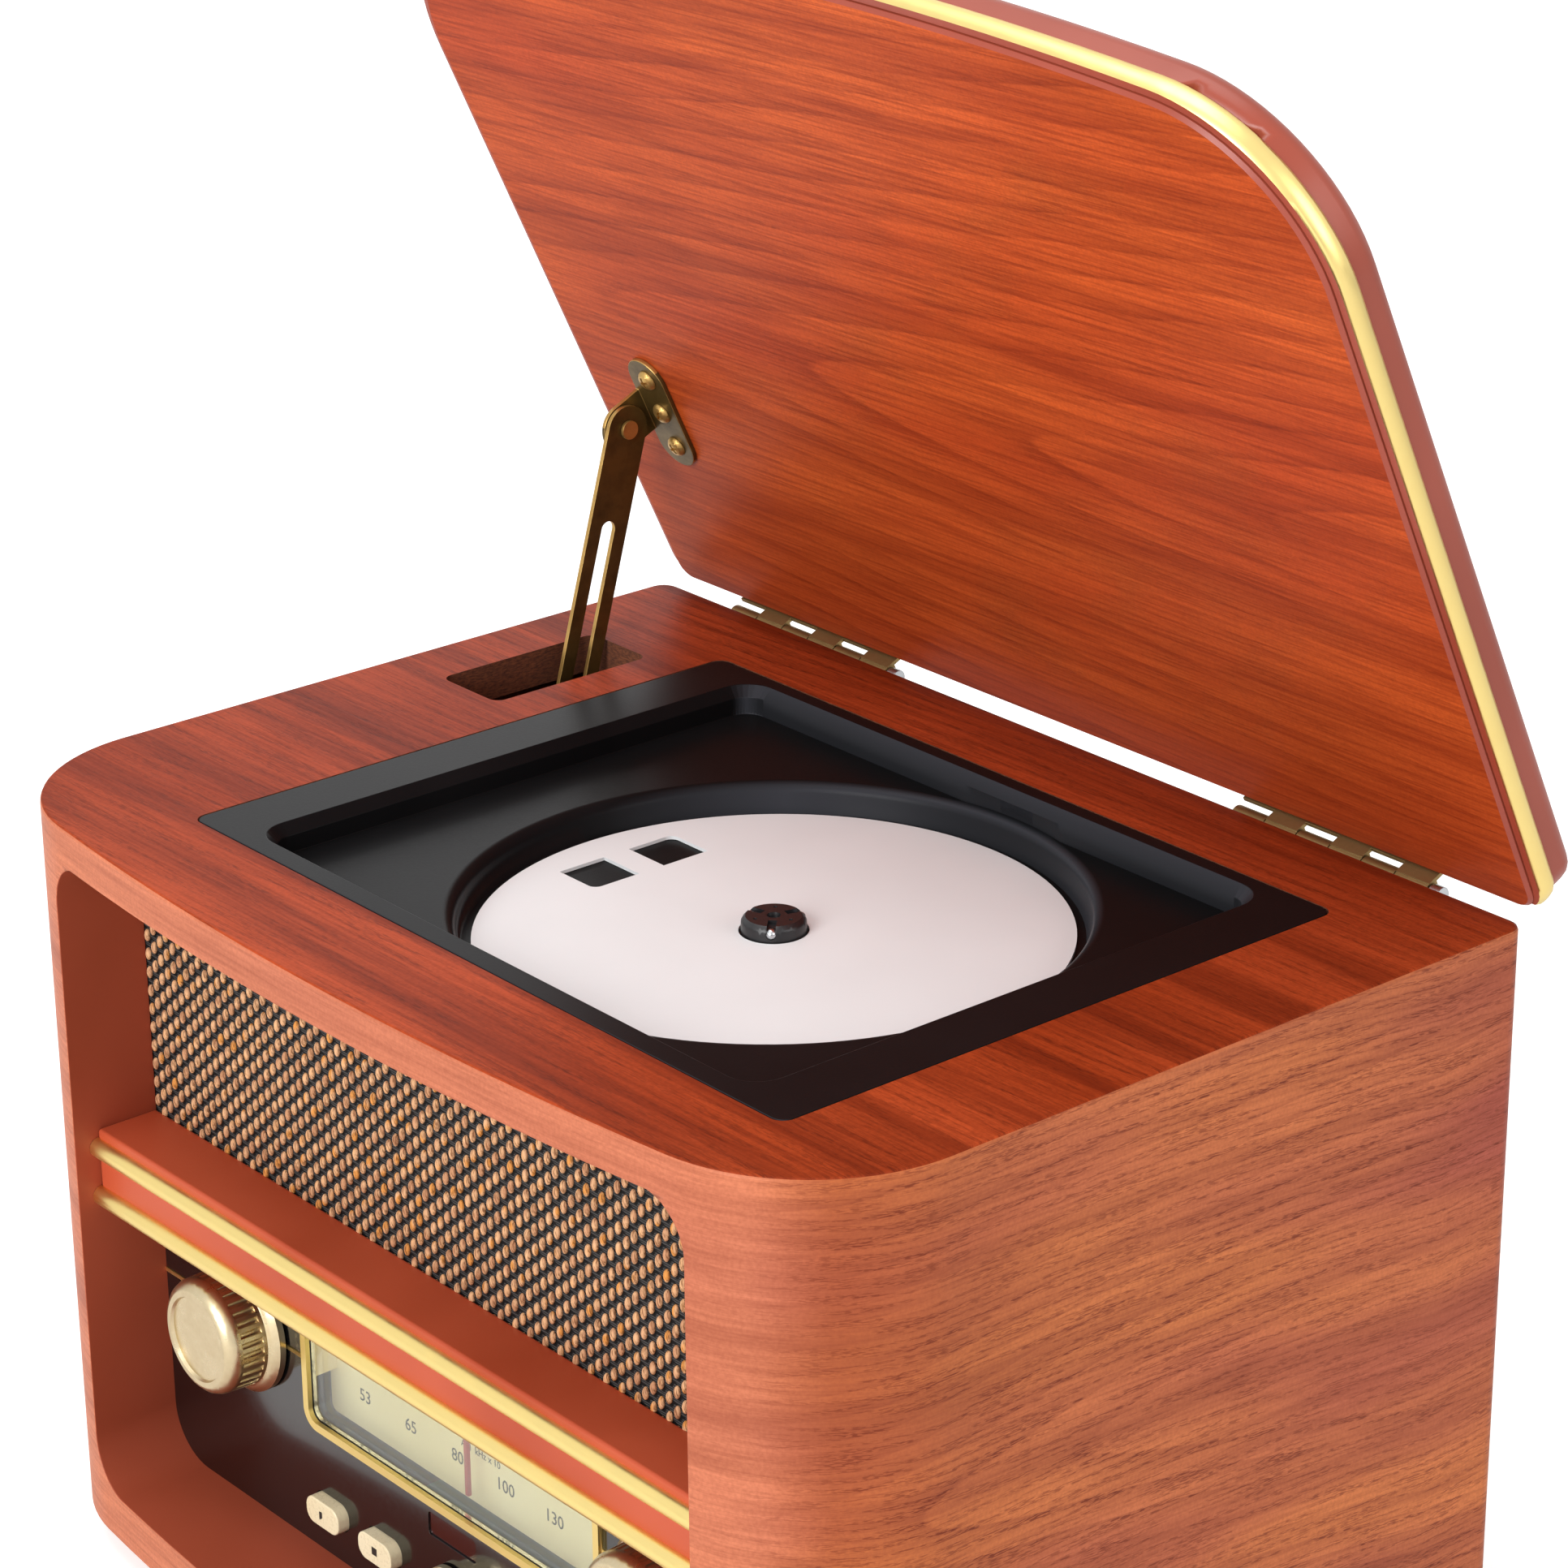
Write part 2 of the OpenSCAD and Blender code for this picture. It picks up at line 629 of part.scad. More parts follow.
// Speakers: pressed frame with magnet behind, paper cone in front
magnet_r = 20;
magnet_l = 11;
module speaker_frames() {
    color("#4a4c50") for (s = [-1, 1])
        translate([s*speaker_x, baffle_back + seat, speaker_z]) rotate([-90, 0, 0])
            rotate_extrude($fn = 72) polygon([[10, speaker_d - magnet_l - 2],
                [14, speaker_d - magnet_l - 2], [speaker_r - 8, 2], [speaker_r - 3, 2],
                [speaker_r - 3, 0], [speaker_r, 0], [speaker_r, 3], [speaker_r - 6, 3.4],
                [16, speaker_d - magnet_l], [magnet_r, speaker_d - magnet_l], [magnet_r, speaker_d],
                [0, speaker_d], [0, speaker_d - 4], [10, speaker_d - 4]]);
}
module speaker_cones() {
    depth = speaker_d - magnet_l - 6;
    color("#1f1e1f") for (s = [-1, 1])
        translate([s*speaker_x, baffle_back + seat, speaker_z]) rotate([-90, 0, 0])
            rotate_extrude($fn = 72) polygon([[0, depth - 5], [4, depth - 4.4], [8, depth - 1.6],
                [9, depth - 2.6], [speaker_r - 11, 0], [speaker_r - 9.4, -1.8], [speaker_r - 7.8, -2.2],
                [speaker_r - 6.2, -1.6], [speaker_r - 5, 0.2], [speaker_r - 3.3, 0.2],
                [speaker_r - 3.3, 1], [speaker_r - 5.6, 1], [speaker_r - 6.8, -0.6],
                [speaker_r - 7.8, -1.2], [speaker_r - 9.2, -0.6],
                [speaker_r - 11, 1.2], [9, depth], [9, depth + 6], [8, depth + 6], [8, depth - 0.6],
                [4, depth - 3.4], [0, depth - 4]]);
}

// Main board on four posts, with its capacitors and heat sink
board_level = 26;
pcb_t = 1.6;
pcb_w = 150;
pcb_d = 105;
pcb_x = 25;
pcb_front = 26.5;
pcb_y = panel_back + pcb_front + pcb_d/2;
module main_board() {
    z1 = board_level - pcb_t;
    color("#2f6b3f") translate([pcb_x - pcb_w/2, pcb_y - pcb_d/2, z1]) cube([pcb_w, pcb_d, pcb_t]);
    color(steel) for (x = [-1, 1], y = [-1, 1])
        translate([pcb_x + x*(pcb_w/2 - 5), pcb_y + y*(pcb_d/2 - 5), base_top + seat])
            cylinder(h = z1 - base_top - seat, r = 3, $fn = 32);
    color("#23303f") for (p = [[-30, 30, 8, 25], [-8, 32, 8, 25], [-40, 2, 5, 14], [30, -2, 5, 14],
            [52, 20, 4, 11], [0, -6, 5, 12]])
        translate([pcb_x + p[0], pcb_y + p[1], board_level]) cylinder(h = p[3], r = p[2], $fn = 32);
    color("#26262a") for (p = [[-22, -30, 16, 8], [20, 22, 10, 10], [46, -28, 14, 9]])
        translate([pcb_x + p[0], pcb_y + p[1], board_level]) cube([p[2], p[3], 2.4]);
}
sink_w = 48;
sink_d = 13;
sink_h = 30;
fin_t = 2;
module heat_sink() {
    fins = 7;
    color("#9a9da2") translate([pcb_x + 12, pcb_y + pcb_d/2 - sink_d - 3.5, board_level + seat]) {
        cube([sink_w, fin_t + 1, sink_h]);
        for (i = [0:fins - 1]) translate([i*(sink_w - fin_t)/(fins - 1), 0, 0])
            cube([fin_t, sink_d, sink_h]);
    }
}
// Transformer: iron core on two feet, with the winding round its middle leg
core_w = 52;
core_d = 22;
core_h = 44;
core_foot = 4;
core_leg = 8.5;
core_window = 9;
winding_d = 38;
trafo_side = 39.5;
trafo_back = 67;
trafo_x = -inner_x + trafo_side;
trafo_y = back_y - trafo_back;
module transformer() {
    core_z = base_top + core_foot;
    window_h = core_h - 2*core_window;
    color("#6a6c70") difference() {
        translate([trafo_x - core_w/2, trafo_y - core_d/2, core_z]) cube([core_w, core_d, core_h]);
        for (s = [-1, 1])
            translate([trafo_x + s*(core_leg + core_window/2) - core_window/2, trafo_y - core_d/2 - cut,
                    core_z + core_window])
                cube([core_window, core_d + 2*cut, window_h]);
    }
    color("#c8a24a") difference() {
        translate([trafo_x - core_leg - core_window + 0.1, trafo_y - winding_d/2,
                core_z + core_window + 0.1])
            cube([2*(core_leg + core_window) - 0.2, winding_d, window_h - 0.2]);
        translate([trafo_x - core_leg - 0.1, trafo_y - core_d/2 - 0.1, core_z])
            cube([2*core_leg + 0.2, core_d + 0.2, core_h]);
    }
    color("#8c8f94") for (s = [-1, 1])
        translate([trafo_x + s*(core_w/2 + 1) - 9, trafo_y - core_d/2, base_top + seat])
            cube([18, core_d, core_foot - seat]);
}

// Sockets on the back: two phono jacks and an aerial socket, and a two-pin mains inlet
module jack_panel() {
    color("#1d1c1d") difference() {
        union() {
            front_plate(jack_x, jack_z, jack_w - 8 - 2*gap, jack_h - 8 - 2*gap, 1.7,
                back_face - back_t, back_t - 1);
            front_plate(jack_x, jack_z, jack_w, jack_h, 2, back_face - back_t - 2 - seat, 2);
            for (x = [-18, 0, 18]) bar_y(jack_x + x, jack_z, 5.2, back_face - back_t - 10, 8);
        }
        for (x = [-18, 0, 18]) bar_y(jack_x + x, jack_z, 3, back_face - 10, 12);
    }
    color(gold) for (x = [-18, 0, 18]) difference() {
        bar_y(jack_x + x, jack_z, 3 - seat, back_face - 9.9, 8.9);
        bar_y(jack_x + x, jack_z, 1.8, back_face - 8, 10);
    }
}
module mains_inlet() {
    color("#1d1c1d") difference() {
        union() {
            front_plate(inlet_x, inlet_z, inlet_w, inlet_h, 3, back_face - back_t - 2*seat, back_t - 0.5);
            front_plate(inlet_x, inlet_z, inlet_w + 8, inlet_h + 2, 3, back_face - back_t - 2 - seat, 2);
            front_plate(inlet_x, inlet_z, inlet_w - 3, inlet_h - 4, 3, back_face - back_t - 12, 11);
        }
        front_plate(inlet_x, inlet_z, 14, 7.4, 3.6, back_face - 13, 20);
    }
    color(steel) for (s = [-1, 1]) bar_y(inlet_x + s*3.8, inlet_z, 1.1, back_face - 13 - seat, 10);
}

// Deck: one black moulding with a flat rim, a chamfered pocket and a round disc well
pocket_w = deck_w - 2*rim_side;
pocket_d = deck_d - rim_front - rim_back;
pocket_y = deck_y + (rim_front - rim_back)/2;
pocket_z = top_z - pocket_depth;
well_fillet = 3;
well_foot = well_r - well_fillet - 1.2;
lens_slot_w = 20;
lens_slot_x0 = 19;
post_h = 12;
post_r = 3;
post_y = [-26, 30];
post_x = [-38, sqrt(pow(well_out - post_r, 2) - pow(post_y[1], 2))];
chassis_t = 1.4;
damper_h = 4;
chassis_z = floor_z - floor_t - post_h - damper_h - chassis_t;
module pocket_cut() {
    translate([deck_x, pocket_y, 0]) {
        hull() {
            translate([0, 0, top_z]) linear_extrude(0.01)
                offset(0.01) round_rect_32(pocket_w, pocket_d, pocket_r);
            translate([0, 0, top_z - chamfer]) linear_extrude(0.01)
                round_rect_32(pocket_w - 2*chamfer, pocket_d - 2*chamfer, pocket_r - chamfer);
        }
        translate([0, 0, pocket_z]) linear_extrude(pocket_depth)
            round_rect(pocket_w - 2*chamfer, pocket_d - 2*chamfer, pocket_r - chamfer);
    }
}
module round_rect_32(w, d, r) {
    hull() for (x = [-1, 1], y = [-1, 1])
        translate([x*(w/2 - r), y*(d/2 - r)]) circle(r, $fn = 32);
}
module deck_tray() {
    color(black) difference() {
        union() {
            translate([deck_x, deck_y, top_z - flange_t + seat]) linear_extrude(flange_t - seat)
                round_rect(deck_w, deck_d, deck_r);
            translate([deck_x, pocket_y, pocket_z - deck_wall]) linear_extrude(pocket_depth)
                round_rect(pocket_w - 2*chamfer + 2*deck_wall, pocket_d - 2*chamfer + 2*deck_wall,
                    pocket_r - chamfer + deck_wall);
            translate([hub_x, hub_y, floor_z - floor_t])
                cylinder(h = well_depth + floor_t - 1, r = well_out, $fn = 128);
            for (x = post_x, y = post_y)
                translate([hub_x + x, hub_y + y, floor_z - floor_t - post_h])
                    cylinder(h = post_h + 1, r = post_r, $fn = 32);
        }
        pocket_cut();
        translate([hub_x, hub_y, 0]) rotate_extrude($fn = 180) polygon(concat(
            [[0, floor_z], [well_foot, floor_z]],
            [for (i = [0:6]) let (a = 15*i)
                [well_r - well_fillet*cos(a) , pocket_z - well_fillet + well_fillet*sin(a)]],
            [[well_r, pocket_z + pocket_depth - chamfer], [0, pocket_z + pocket_depth - chamfer]]));
        translate([hub_x, hub_y, floor_z - floor_t - cut])
            cylinder(h = floor_t + 2*cut, r = flange_r + 1, $fn = 72);
        translate([hub_x + (lens_slot_x0 + lens_slot_x0 + pickup_travel + 12)/2, hub_y,
                floor_z - floor_t - cut]) linear_extrude(floor_t + 2*cut)
            round_rect(pickup_travel + 12, lens_slot_w, 3);
    }
}

// Loose white card that covers the disc opening, with two finger windows
window_edge = 9.8;
window_x = window_edge - card_r;
window_y = 0.8;
window_gap = 7.2;
window_r = 2.2;
card_fit = 0.5;
module card_window(s) {
    w = window_w;
    l = window_l;
    translate([0, s*(window_gap/2 + l/2)]) {
        translate([s > 0 ? window_r : 0, -l/2]) square([w - window_r, l]);
        translate([0, s > 0 ? -l/2 : -l/2 + window_r]) square([w, l - window_r]);
        translate([s > 0 ? window_r : w - window_r, s*(l/2 - window_r)]) circle(window_r, $fn = 32);
    }
}
module cover_card() {
    color("#efe6e6") translate([hub_x, hub_y, floor_z + 0.1]) linear_extrude(card_t) difference() {
        circle(card_r, $fn = 180);
        circle(hub_r + card_fit, $fn = 64);
        for (s = [-1, 1]) translate([window_x, window_y]) card_window(s);
    }
}

ball_r = 1.3;
ball_z = floor_z + hub_h - 1.9;
ball_at = hub_r - 0.95;
ball_turn = -45;
motor_shaft_r = 1;
motor_h = 8;
module disc_hub() {
    color(black) translate([hub_x, hub_y, 0]) difference() {
        union() {
            translate([0, 0, floor_z - 1.6]) cylinder(h = 1.6, r = flange_r, $fn = 72);
            translate([0, 0, floor_z - 5]) cylinder(h = 4, r = 6, $fn = 48);
            translate([0, 0, floor_z - seat]) rotate_extrude($fn = 72)
                polygon([[0, 0], [hub_r, 0], [hub_r - 0.1, 3.2], [hub_r - 0.5, hub_h - 0.6],
                    [hub_r - 1.1, hub_h], [0, hub_h]]);
        }
        translate([0, 0, floor_z + hub_h - 1.2]) cylinder(h = 2, r = 1.6, $fn = 32);
        for (i = [0:2]) rotate([0, 0, ball_turn + 120*i]) {
            translate([3, -1, floor_z + hub_h - 0.9]) cube([5, 2, 2]);
            translate([ball_at, 0, ball_z]) sphere(ball_r + run, $fn = 32);
            translate([ball_at - ball_r, 0, ball_z - ball_r - 0.2]) cylinder(h = 4, r = 0.4, $fn = 16);
        }
        for (i = [0:2]) rotate([0, 0, ball_turn + 60 + 120*i])
            translate([4.6, 0, floor_z + hub_h - 0.7]) cylinder(h = 2, r = 0.5, $fn = 16);
    }
    color(steel) translate([hub_x, hub_y, chassis_z - 3])
        cylinder(h = floor_z - 5 - chassis_z + 3, r = motor_shaft_r, $fn = 32);
}
module hub_balls() {
    color("#d9dbde") translate([hub_x, hub_y, 0]) for (i = [0:2])
        rotate([0, 0, ball_turn + 120*i]) translate([ball_at, 0, ball_z]) sphere(ball_r, $fn = 32);
}
module spindle_motor() {
    color(steel) translate([hub_x, hub_y, 0]) difference() {
        union() {
            translate([0, 0, chassis_z + chassis_t + seat]) cylinder(h = 3, r = 5, $fn = 48);
            translate([0, 0, chassis_z - motor_h - seat]) cylinder(h = motor_h, r = 12, $fn = 72);
            translate([0, 0, chassis_z - 1]) cylinder(h = chassis_t + 2, r = 4 - seat, $fn = 48);
        }
        translate([0, 0, chassis_z - 4]) cylinder(h = 20, r = motor_shaft_r + run, $fn = 32);
    }
}
rod_side = 15;
rail_rod_r = 1.5;
rail_rod_z = chassis_z + chassis_t + 5;
rod_x0 = lens_slot_x0 - 6;
rod_l = pickup_travel + 32;
screw_side = 22;
screw_r = 1.4;
journal_r = 1;
tab_t = 2;
module cd_chassis() {
    color("#8f9296") translate([hub_x, hub_y, 0]) difference() {
        union() {
            translate([post_x[0] - 6, post_y[0] - 6, chassis_z])
                cube([rod_x0 + rod_l + 10 - post_x[0], post_y[1] - post_y[0] + 12, chassis_t]);
            // Tabs that hold the two rods and the screw at both ends
            for (x = [rod_x0, rod_x0 + rod_l - tab_t]) {
                translate([x, -rod_side - 3, chassis_z]) cube([tab_t, 6, chassis_t + 8]);
                translate([x, rod_side - 3, chassis_z])
                    cube([tab_t, screw_side - rod_side + 6, chassis_t + 8]);
            }
        }
        for (x = [rod_x0, rod_x0 + rod_l - tab_t]) {
            for (s = [-1, 1]) bar_x(s*rod_side, rail_rod_z, rail_rod_r + 0.02, x - cut, tab_t + 2*cut, 32);
            bar_x(screw_side, rail_rod_z, journal_r + run, x - cut, tab_t + 2*cut, 32);
        }
        translate([0, 0, chassis_z - cut]) cylinder(h = 4, r = 4, $fn = 48);
        // Windows pressed out of the plate, either side of the spindle
        translate([rod_x0 + 10, -10, chassis_z - cut]) cube([rod_l - 24, 20, 4]);
        for (x = post_x, y = post_y) translate([x, y, chassis_z - cut]) cylinder(h = 4, r = 1.6, $fn = 32);
    }
}
module cd_dampers() {
    color("#3b3a3c") for (x = post_x, y = post_y)
        translate([hub_x + x, hub_y + y, chassis_z + chassis_t + seat]) rotate_extrude($fn = 32)
            polygon([[0, 0], [4.5, 0], [4.5, 1.2], [3.4, 1.6], [3.4, 2.4], [4.5, 2.8],
                [4.5, damper_h - 2*seat], [0, damper_h - 2*seat]]);
}
// Pickup sled at rest next to the spindle motor; it travels towards the rim
sled_l = 17;
sled_x = rod_x0 + tab_t + 1.4;
sled_top = floor_z - floor_t - 1;
lens_r = 3.4;
module pickup_sled() {
    z0 = rail_rod_z - 3.2;
    color("#33363a") translate([hub_x + sled_x, hub_y, 0]) difference() {
        union() {
            translate([0, -rod_side - 3.4, z0]) cube([sled_l, screw_side + rod_side + 6, 6.4]);
            translate([2, -9.5, z0]) cube([sled_l - 4, 19, sled_top - z0]);
        }
        for (s = [-1, 1]) bar_x(s*rod_side, rail_rod_z, rail_rod_r + run, -cut, sled_l + 2*cut, 32);
        bar_x(screw_side, rail_rod_z, screw_r + run, -cut, sled_l + 2*cut, 32);
        translate([sled_l/2, 0, sled_top - 2]) cylinder(h = 3, r = 5, $fn = 48);
    }
}
module pickup_lens() {
    color("#9fb8d8") translate([hub_x + sled_x + sled_l/2, hub_y, sled_top - 2 + seat])
        rotate_extrude($fn = 48) polygon([[0, 0], [4.6, 0], [4.6, 1.4], [lens_r, 1.6], [lens_r, 2.6],
            [2.2, 3], [0, 3.2]]);
}
module sled_rods() {
    color(steel) for (s = [-1, 1])
        bar_x(hub_y + s*rod_side, rail_rod_z, rail_rod_r, hub_x + rod_x0 - 1, rod_l + 2, 32);
}
module sled_screw() {
    color("#c7b98a") union() {
        bar_x(hub_y + screw_side, rail_rod_z, screw_r, hub_x + rod_x0 + tab_t + 0.4,
            rod_l - 2*tab_t - 0.8, 32);
        bar_x(hub_y + screw_side, rail_rod_z, journal_r, hub_x + rod_x0 - 1.5, rod_l + 3, 32);
    }
}
motor_r = 7;
module sled_motor() {
    x0 = hub_x + rod_x0 + rod_l + 1;
    color(steel) difference() {
        union() {
            bar_x(hub_y + screw_side, rail_rod_z, motor_r, x0, 12);
            translate([x0, hub_y + screw_side - 5, chassis_z - seat - 1.5]) cube([3, 10, 4]);
        }
        bar_x(hub_y + screw_side, rail_rod_z, journal_r + run, x0 - cut, 4, 32);
        translate([hub_x, hub_y - 40, chassis_z - seat])
            cube([rod_x0 + rod_l + 4 + seat, 80, chassis_t + 2*seat]);
    }
}

// Lid, modelled shut and then turned open about the hinge axis
lid_z = top_z + lid_gap;
lid_board_z = lid_z + lid_panel_t;
lid_top = lid_board_z + lid_board_t;
module at_lid() {
    translate([0, pin_y, pin_z]) rotate([-lid_open, 0, 0]) translate([0, -pin_y, -pin_z]) children();
}
module lid_plan(inset, z0, h) {
    plan(inset, z0, h, lid_back_r);
}
// The lower panel: inside the board at the front and sides, flush with it at the back
module lid_panel() {
    color(wood) at_lid() difference() {
        hull() for (y = [0, panel_in]) translate([0, y, 0]) {
            lid_plan(panel_in + 0.8, lid_z, lid_panel_t - seat);
            lid_plan(panel_in, lid_z + 0.8, lid_panel_t - seat - 0.8);
        }
        trim_rebate();
    }
}
trim_z = lid_board_z - trim_drop;
trim_in = 1.5;
trim_back = back_y - 1.2;
module trim_zone(z0, h, margin) {
    translate([-body_w, -body_d, z0 - margin])
        cube([2*body_w, body_d + trim_back + margin, h + 2*margin]);
}
module trim_rebate() {
    difference() {
        trim_zone(trim_z, trim_h, seat);
        lid_plan(trim_in, trim_z - cut, trim_h + 2*cut);
    }
}
module lid_board() {
    color(wood) at_lid() difference() {
        hull() {
            lid_plan(0, lid_board_z, lid_board_t - lid_round);
            for (i = [1:5]) let (a = 18*i)
                lid_plan(lid_round*(1 - cos(a)), lid_board_z,
                    lid_board_t - lid_round + lid_round*sin(a));
        }
        trim_rebate();
    }
}
module lid_trim() {
    crown = trim_proud;
    color(gold) at_lid() intersection() {
        trim_zone(trim_z, trim_h, 0);
        difference() {
            hull() {
                lid_plan(-0.3*crown, trim_z, trim_h);
                lid_plan(-0.8*crown, trim_z + 0.16*trim_h, 0.68*trim_h);
                lid_plan(-crown, trim_z + 0.38*trim_h, 0.24*trim_h);
            }
            lid_plan(trim_in - seat, trim_z - cut, trim_h + 2*cut);
        }
    }
}

// Butt hinges: three knuckles on each leaf, taken in turn, and a headed pin
knuckles = 6;
knuckle_l = hinge_l/knuckles;
knuckle_fit = 0.15;
leaf_y = back_y + seat;
leaf_h = 12.2;
module leaf(first, up) {
    for (s = [-1, 1]) {
        x0 = s*hinge_x - hinge_shift - hinge_l/2;
        difference() {
            union() {
                translate([x0, leaf_y, up ? pin_z : pin_z - leaf_h]) cube([hinge_l, leaf_t, leaf_h]);
                for (i = [first:2:knuckles - 1]) {
                    translate([x0 + i*knuckle_l + knuckle_fit, leaf_y, up ? pin_z : pin_z - knuckle_r])
                        cube([knuckle_l - 2*knuckle_fit, pin_y - leaf_y, knuckle_r]);
                    bar_x(pin_y, pin_z, knuckle_r, x0 + i*knuckle_l + knuckle_fit,
                        knuckle_l - 2*knuckle_fit);
                }
            }
            // Between its knuckles the lid's leaf is cut back to the lid's underside
            for (i = [1 - first:2:knuckles - 1])
                translate([x0 + i*knuckle_l - knuckle_fit, leaf_y - cut, pin_z - knuckle_r - 0.4])
                    cube([knuckle_l + 2*knuckle_fit, 10, knuckle_r + 0.4 + (up ? lid_z - pin_z : 2.8)]);
            bar_x(pin_y, pin_z, pin_r + run, x0 - cut, hinge_l + 2*cut);
            for (i = [0:2]) bar_y(x0 + (1 + 2*i)*hinge_l/6, up ? pin_z + 7.6 : pin_z - 7.6, 1.5,
                leaf_y - cut, leaf_t + 2*cut, 32);
        }
    }
}
module cabinet_leaves() {
    color(bronze) leaf(0, false);
}
module lid_leaves() {
    color(bronze) at_lid() leaf(1, true);
}
module hinge_pins() {
    color("#c9c2b4") for (s = [-1, 1]) {
        bar_x(pin_y, pin_z, pin_r, s*hinge_x - hinge_shift - hinge_l/2, hinge_l + 0.6);
        bar_x(pin_y, pin_z, pin_r + 1, s*hinge_x - hinge_shift + hinge_l/2 + 0.1, 3);
    }
}

// Stay: a bracket under the lid, a slotted arm, and a guide pin on a block in the cabinet
stay_pivot_z = lid_z - stay_drop;
stay_pivot_y = pin_y - sqrt(pow(stay_arm_r, 2) - pow(pin_z - stay_pivot_z, 2));
stay_rest = atan2(pin_z - stay_pivot_z, pin_y - stay_pivot_y);
open_pivot_y = pin_y - stay_arm_r*cos(lid_open - stay_rest);
open_pivot_z = pin_z + stay_arm_r*sin(lid_open - stay_rest);
guide_y = open_pivot_y - stay_reach*sin(stay_lean);
guide_z = open_pivot_z - stay_reach*cos(stay_lean);
ear_w = stay_w + 0.5;
arm_x = -stay_x + stay_t + 0.2;
bracket_screw_pitch = 10.45;
module stay_bracket() {
    color(bronze) at_lid() {
        difference() {
            translate([-stay_x + bracket_w/2, stay_pivot_y, lid_z - stay_t - seat])
                linear_extrude(stay_t) {
                square([bracket_w, bracket_l - bracket_w], center = true);
                for (s = [-1, 1]) translate([0, s*(bracket_l - bracket_w)/2]) circle(bracket_w/2, $fn = 64);
            }
            for (i = [-1:1]) translate([-stay_x + bracket_w/2 + 0.9,
                stay_pivot_y - 0.4 + i*bracket_screw_pitch, lid_z - 5]) cylinder(h = 10, r = 1.6, $fn = 32);
        }
        difference() {
            union() {
                translate([-stay_x, stay_pivot_y - ear_w/2, stay_pivot_z])
                    cube([stay_t, ear_w, stay_drop - seat]);
                bar_x(stay_pivot_y, stay_pivot_z, ear_w/2, -stay_x, stay_t);
            }
            bar_x(stay_pivot_y, stay_pivot_z, 2 + 0.02, -stay_x - cut, stay_t + 2*cut, 32);
        }
    }
}
module stay_screws() {
    color(bronze) at_lid() {
        for (i = [-1:1]) translate([-stay_x + bracket_w/2 + 0.9, stay_pivot_y - 0.4 + i*bracket_screw_pitch,
                lid_z - stay_t - 2*seat]) {
            rotate([180, 0, 0]) rotate_extrude($fn = 32)
                polygon([[0, 0], [2.8, 0], [2.6, 0.6], [2, 1.2], [1, 1.5], [0, 1.5]]);
            cylinder(h = stay_t + seat, r = 1.5, $fn = 32);
        }
        // Rivet on which the arm turns
        bar_x(stay_pivot_y, stay_pivot_z, 2, -stay_x - 0.6, stay_t*2 + 1.2, 32);
        bar_x(stay_pivot_y, stay_pivot_z, 3.2, -stay_x - 1.2 - seat, 1.2, 32);
        bar_x(stay_pivot_y, stay_pivot_z, 2.4, arm_x + stay_t + 0.15, 0.9, 32);
    }
}
slot_near = 25.6;
slot_far = stay_reach + 0.8;
arm_end = slot_far + 1.8;
module stay_arm() {
    color(bronze) translate([arm_x, open_pivot_y, open_pivot_z]) rotate([-stay_lean, 0, 0]) difference() {
        union() {
            translate([0, -stay_w/2, -arm_end]) cube([stay_t, stay_w, arm_end]);
            for (z = [0, -arm_end]) bar_x(0, z, stay_w/2, 0, stay_t, 64);
        }
        bar_x(0, 0, 2 + run, -cut, stay_t + 2*cut, 32);
        translate([-cut, -stay_slot_w/2, -slot_far])
            cube([stay_t + 2*cut, stay_slot_w, slot_far - slot_near]);
        for (z = [-slot_near, -slot_far]) bar_x(0, z, stay_slot_w/2, -cut, stay_t + 2*cut, 32);
    }
}
block_w = 22;
module stay_block() {
    x0 = -inner_x + seat;
    color(raw_wood) difference() {
        translate([x0, guide_y - block_w/2, guide_z - block_w/2 + 1])
            cube([-stay_x - 0.2 - x0, block_w, block_w - 2]);
        bar_x(guide_y, guide_z, guide_r + 0.02, -inner_x, 40, 32);
    }
}
module stay_pin() {
    color(bronze) {
        bar_x(guide_y, guide_z, guide_r, -stay_x - 8, 8 + 2*stay_t + 1.4, 32);
        bar_x(guide_y, guide_z, 3.6, arm_x + stay_t + 0.4, 1.4, 32);
    }
}

cabinet_body();
top_board();
base_board();
hinge_rail();
back_cleats();
back_panel();
feet();
baffle();
grille_cloth();
front_rail();
rail_beads();
control_panel();
dial_glass();
dial_scale();
dial_rail();
dial_pointer();
track_display();
tuning_knob();
tuning_bush();
dial_drum();
tuning_capacitor();
volume_knob();
volume_control();
function_knob();
function_switch();
play_button();
stop_button();
back_button();
next_button();
button_board();
speaker_frames();
speaker_cones();
main_board();
heat_sink();
transformer();
jack_panel();
mains_inlet();
deck_tray();
cover_card();
disc_hub();
hub_balls();
spindle_motor();
cd_chassis();
cd_dampers();
pickup_sled();
pickup_lens();
sled_rods();
sled_screw();
sled_motor();
lid_panel();
lid_board();
lid_trim();
cabinet_leaves();
lid_leaves();
hinge_pins();
stay_bracket();
stay_screws();
stay_arm();
stay_block();
stay_pin();
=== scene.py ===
"""Table-top music center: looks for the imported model, in metres, in the model's own frame."""

import math

import bpy
from mathutils import Matrix, Vector


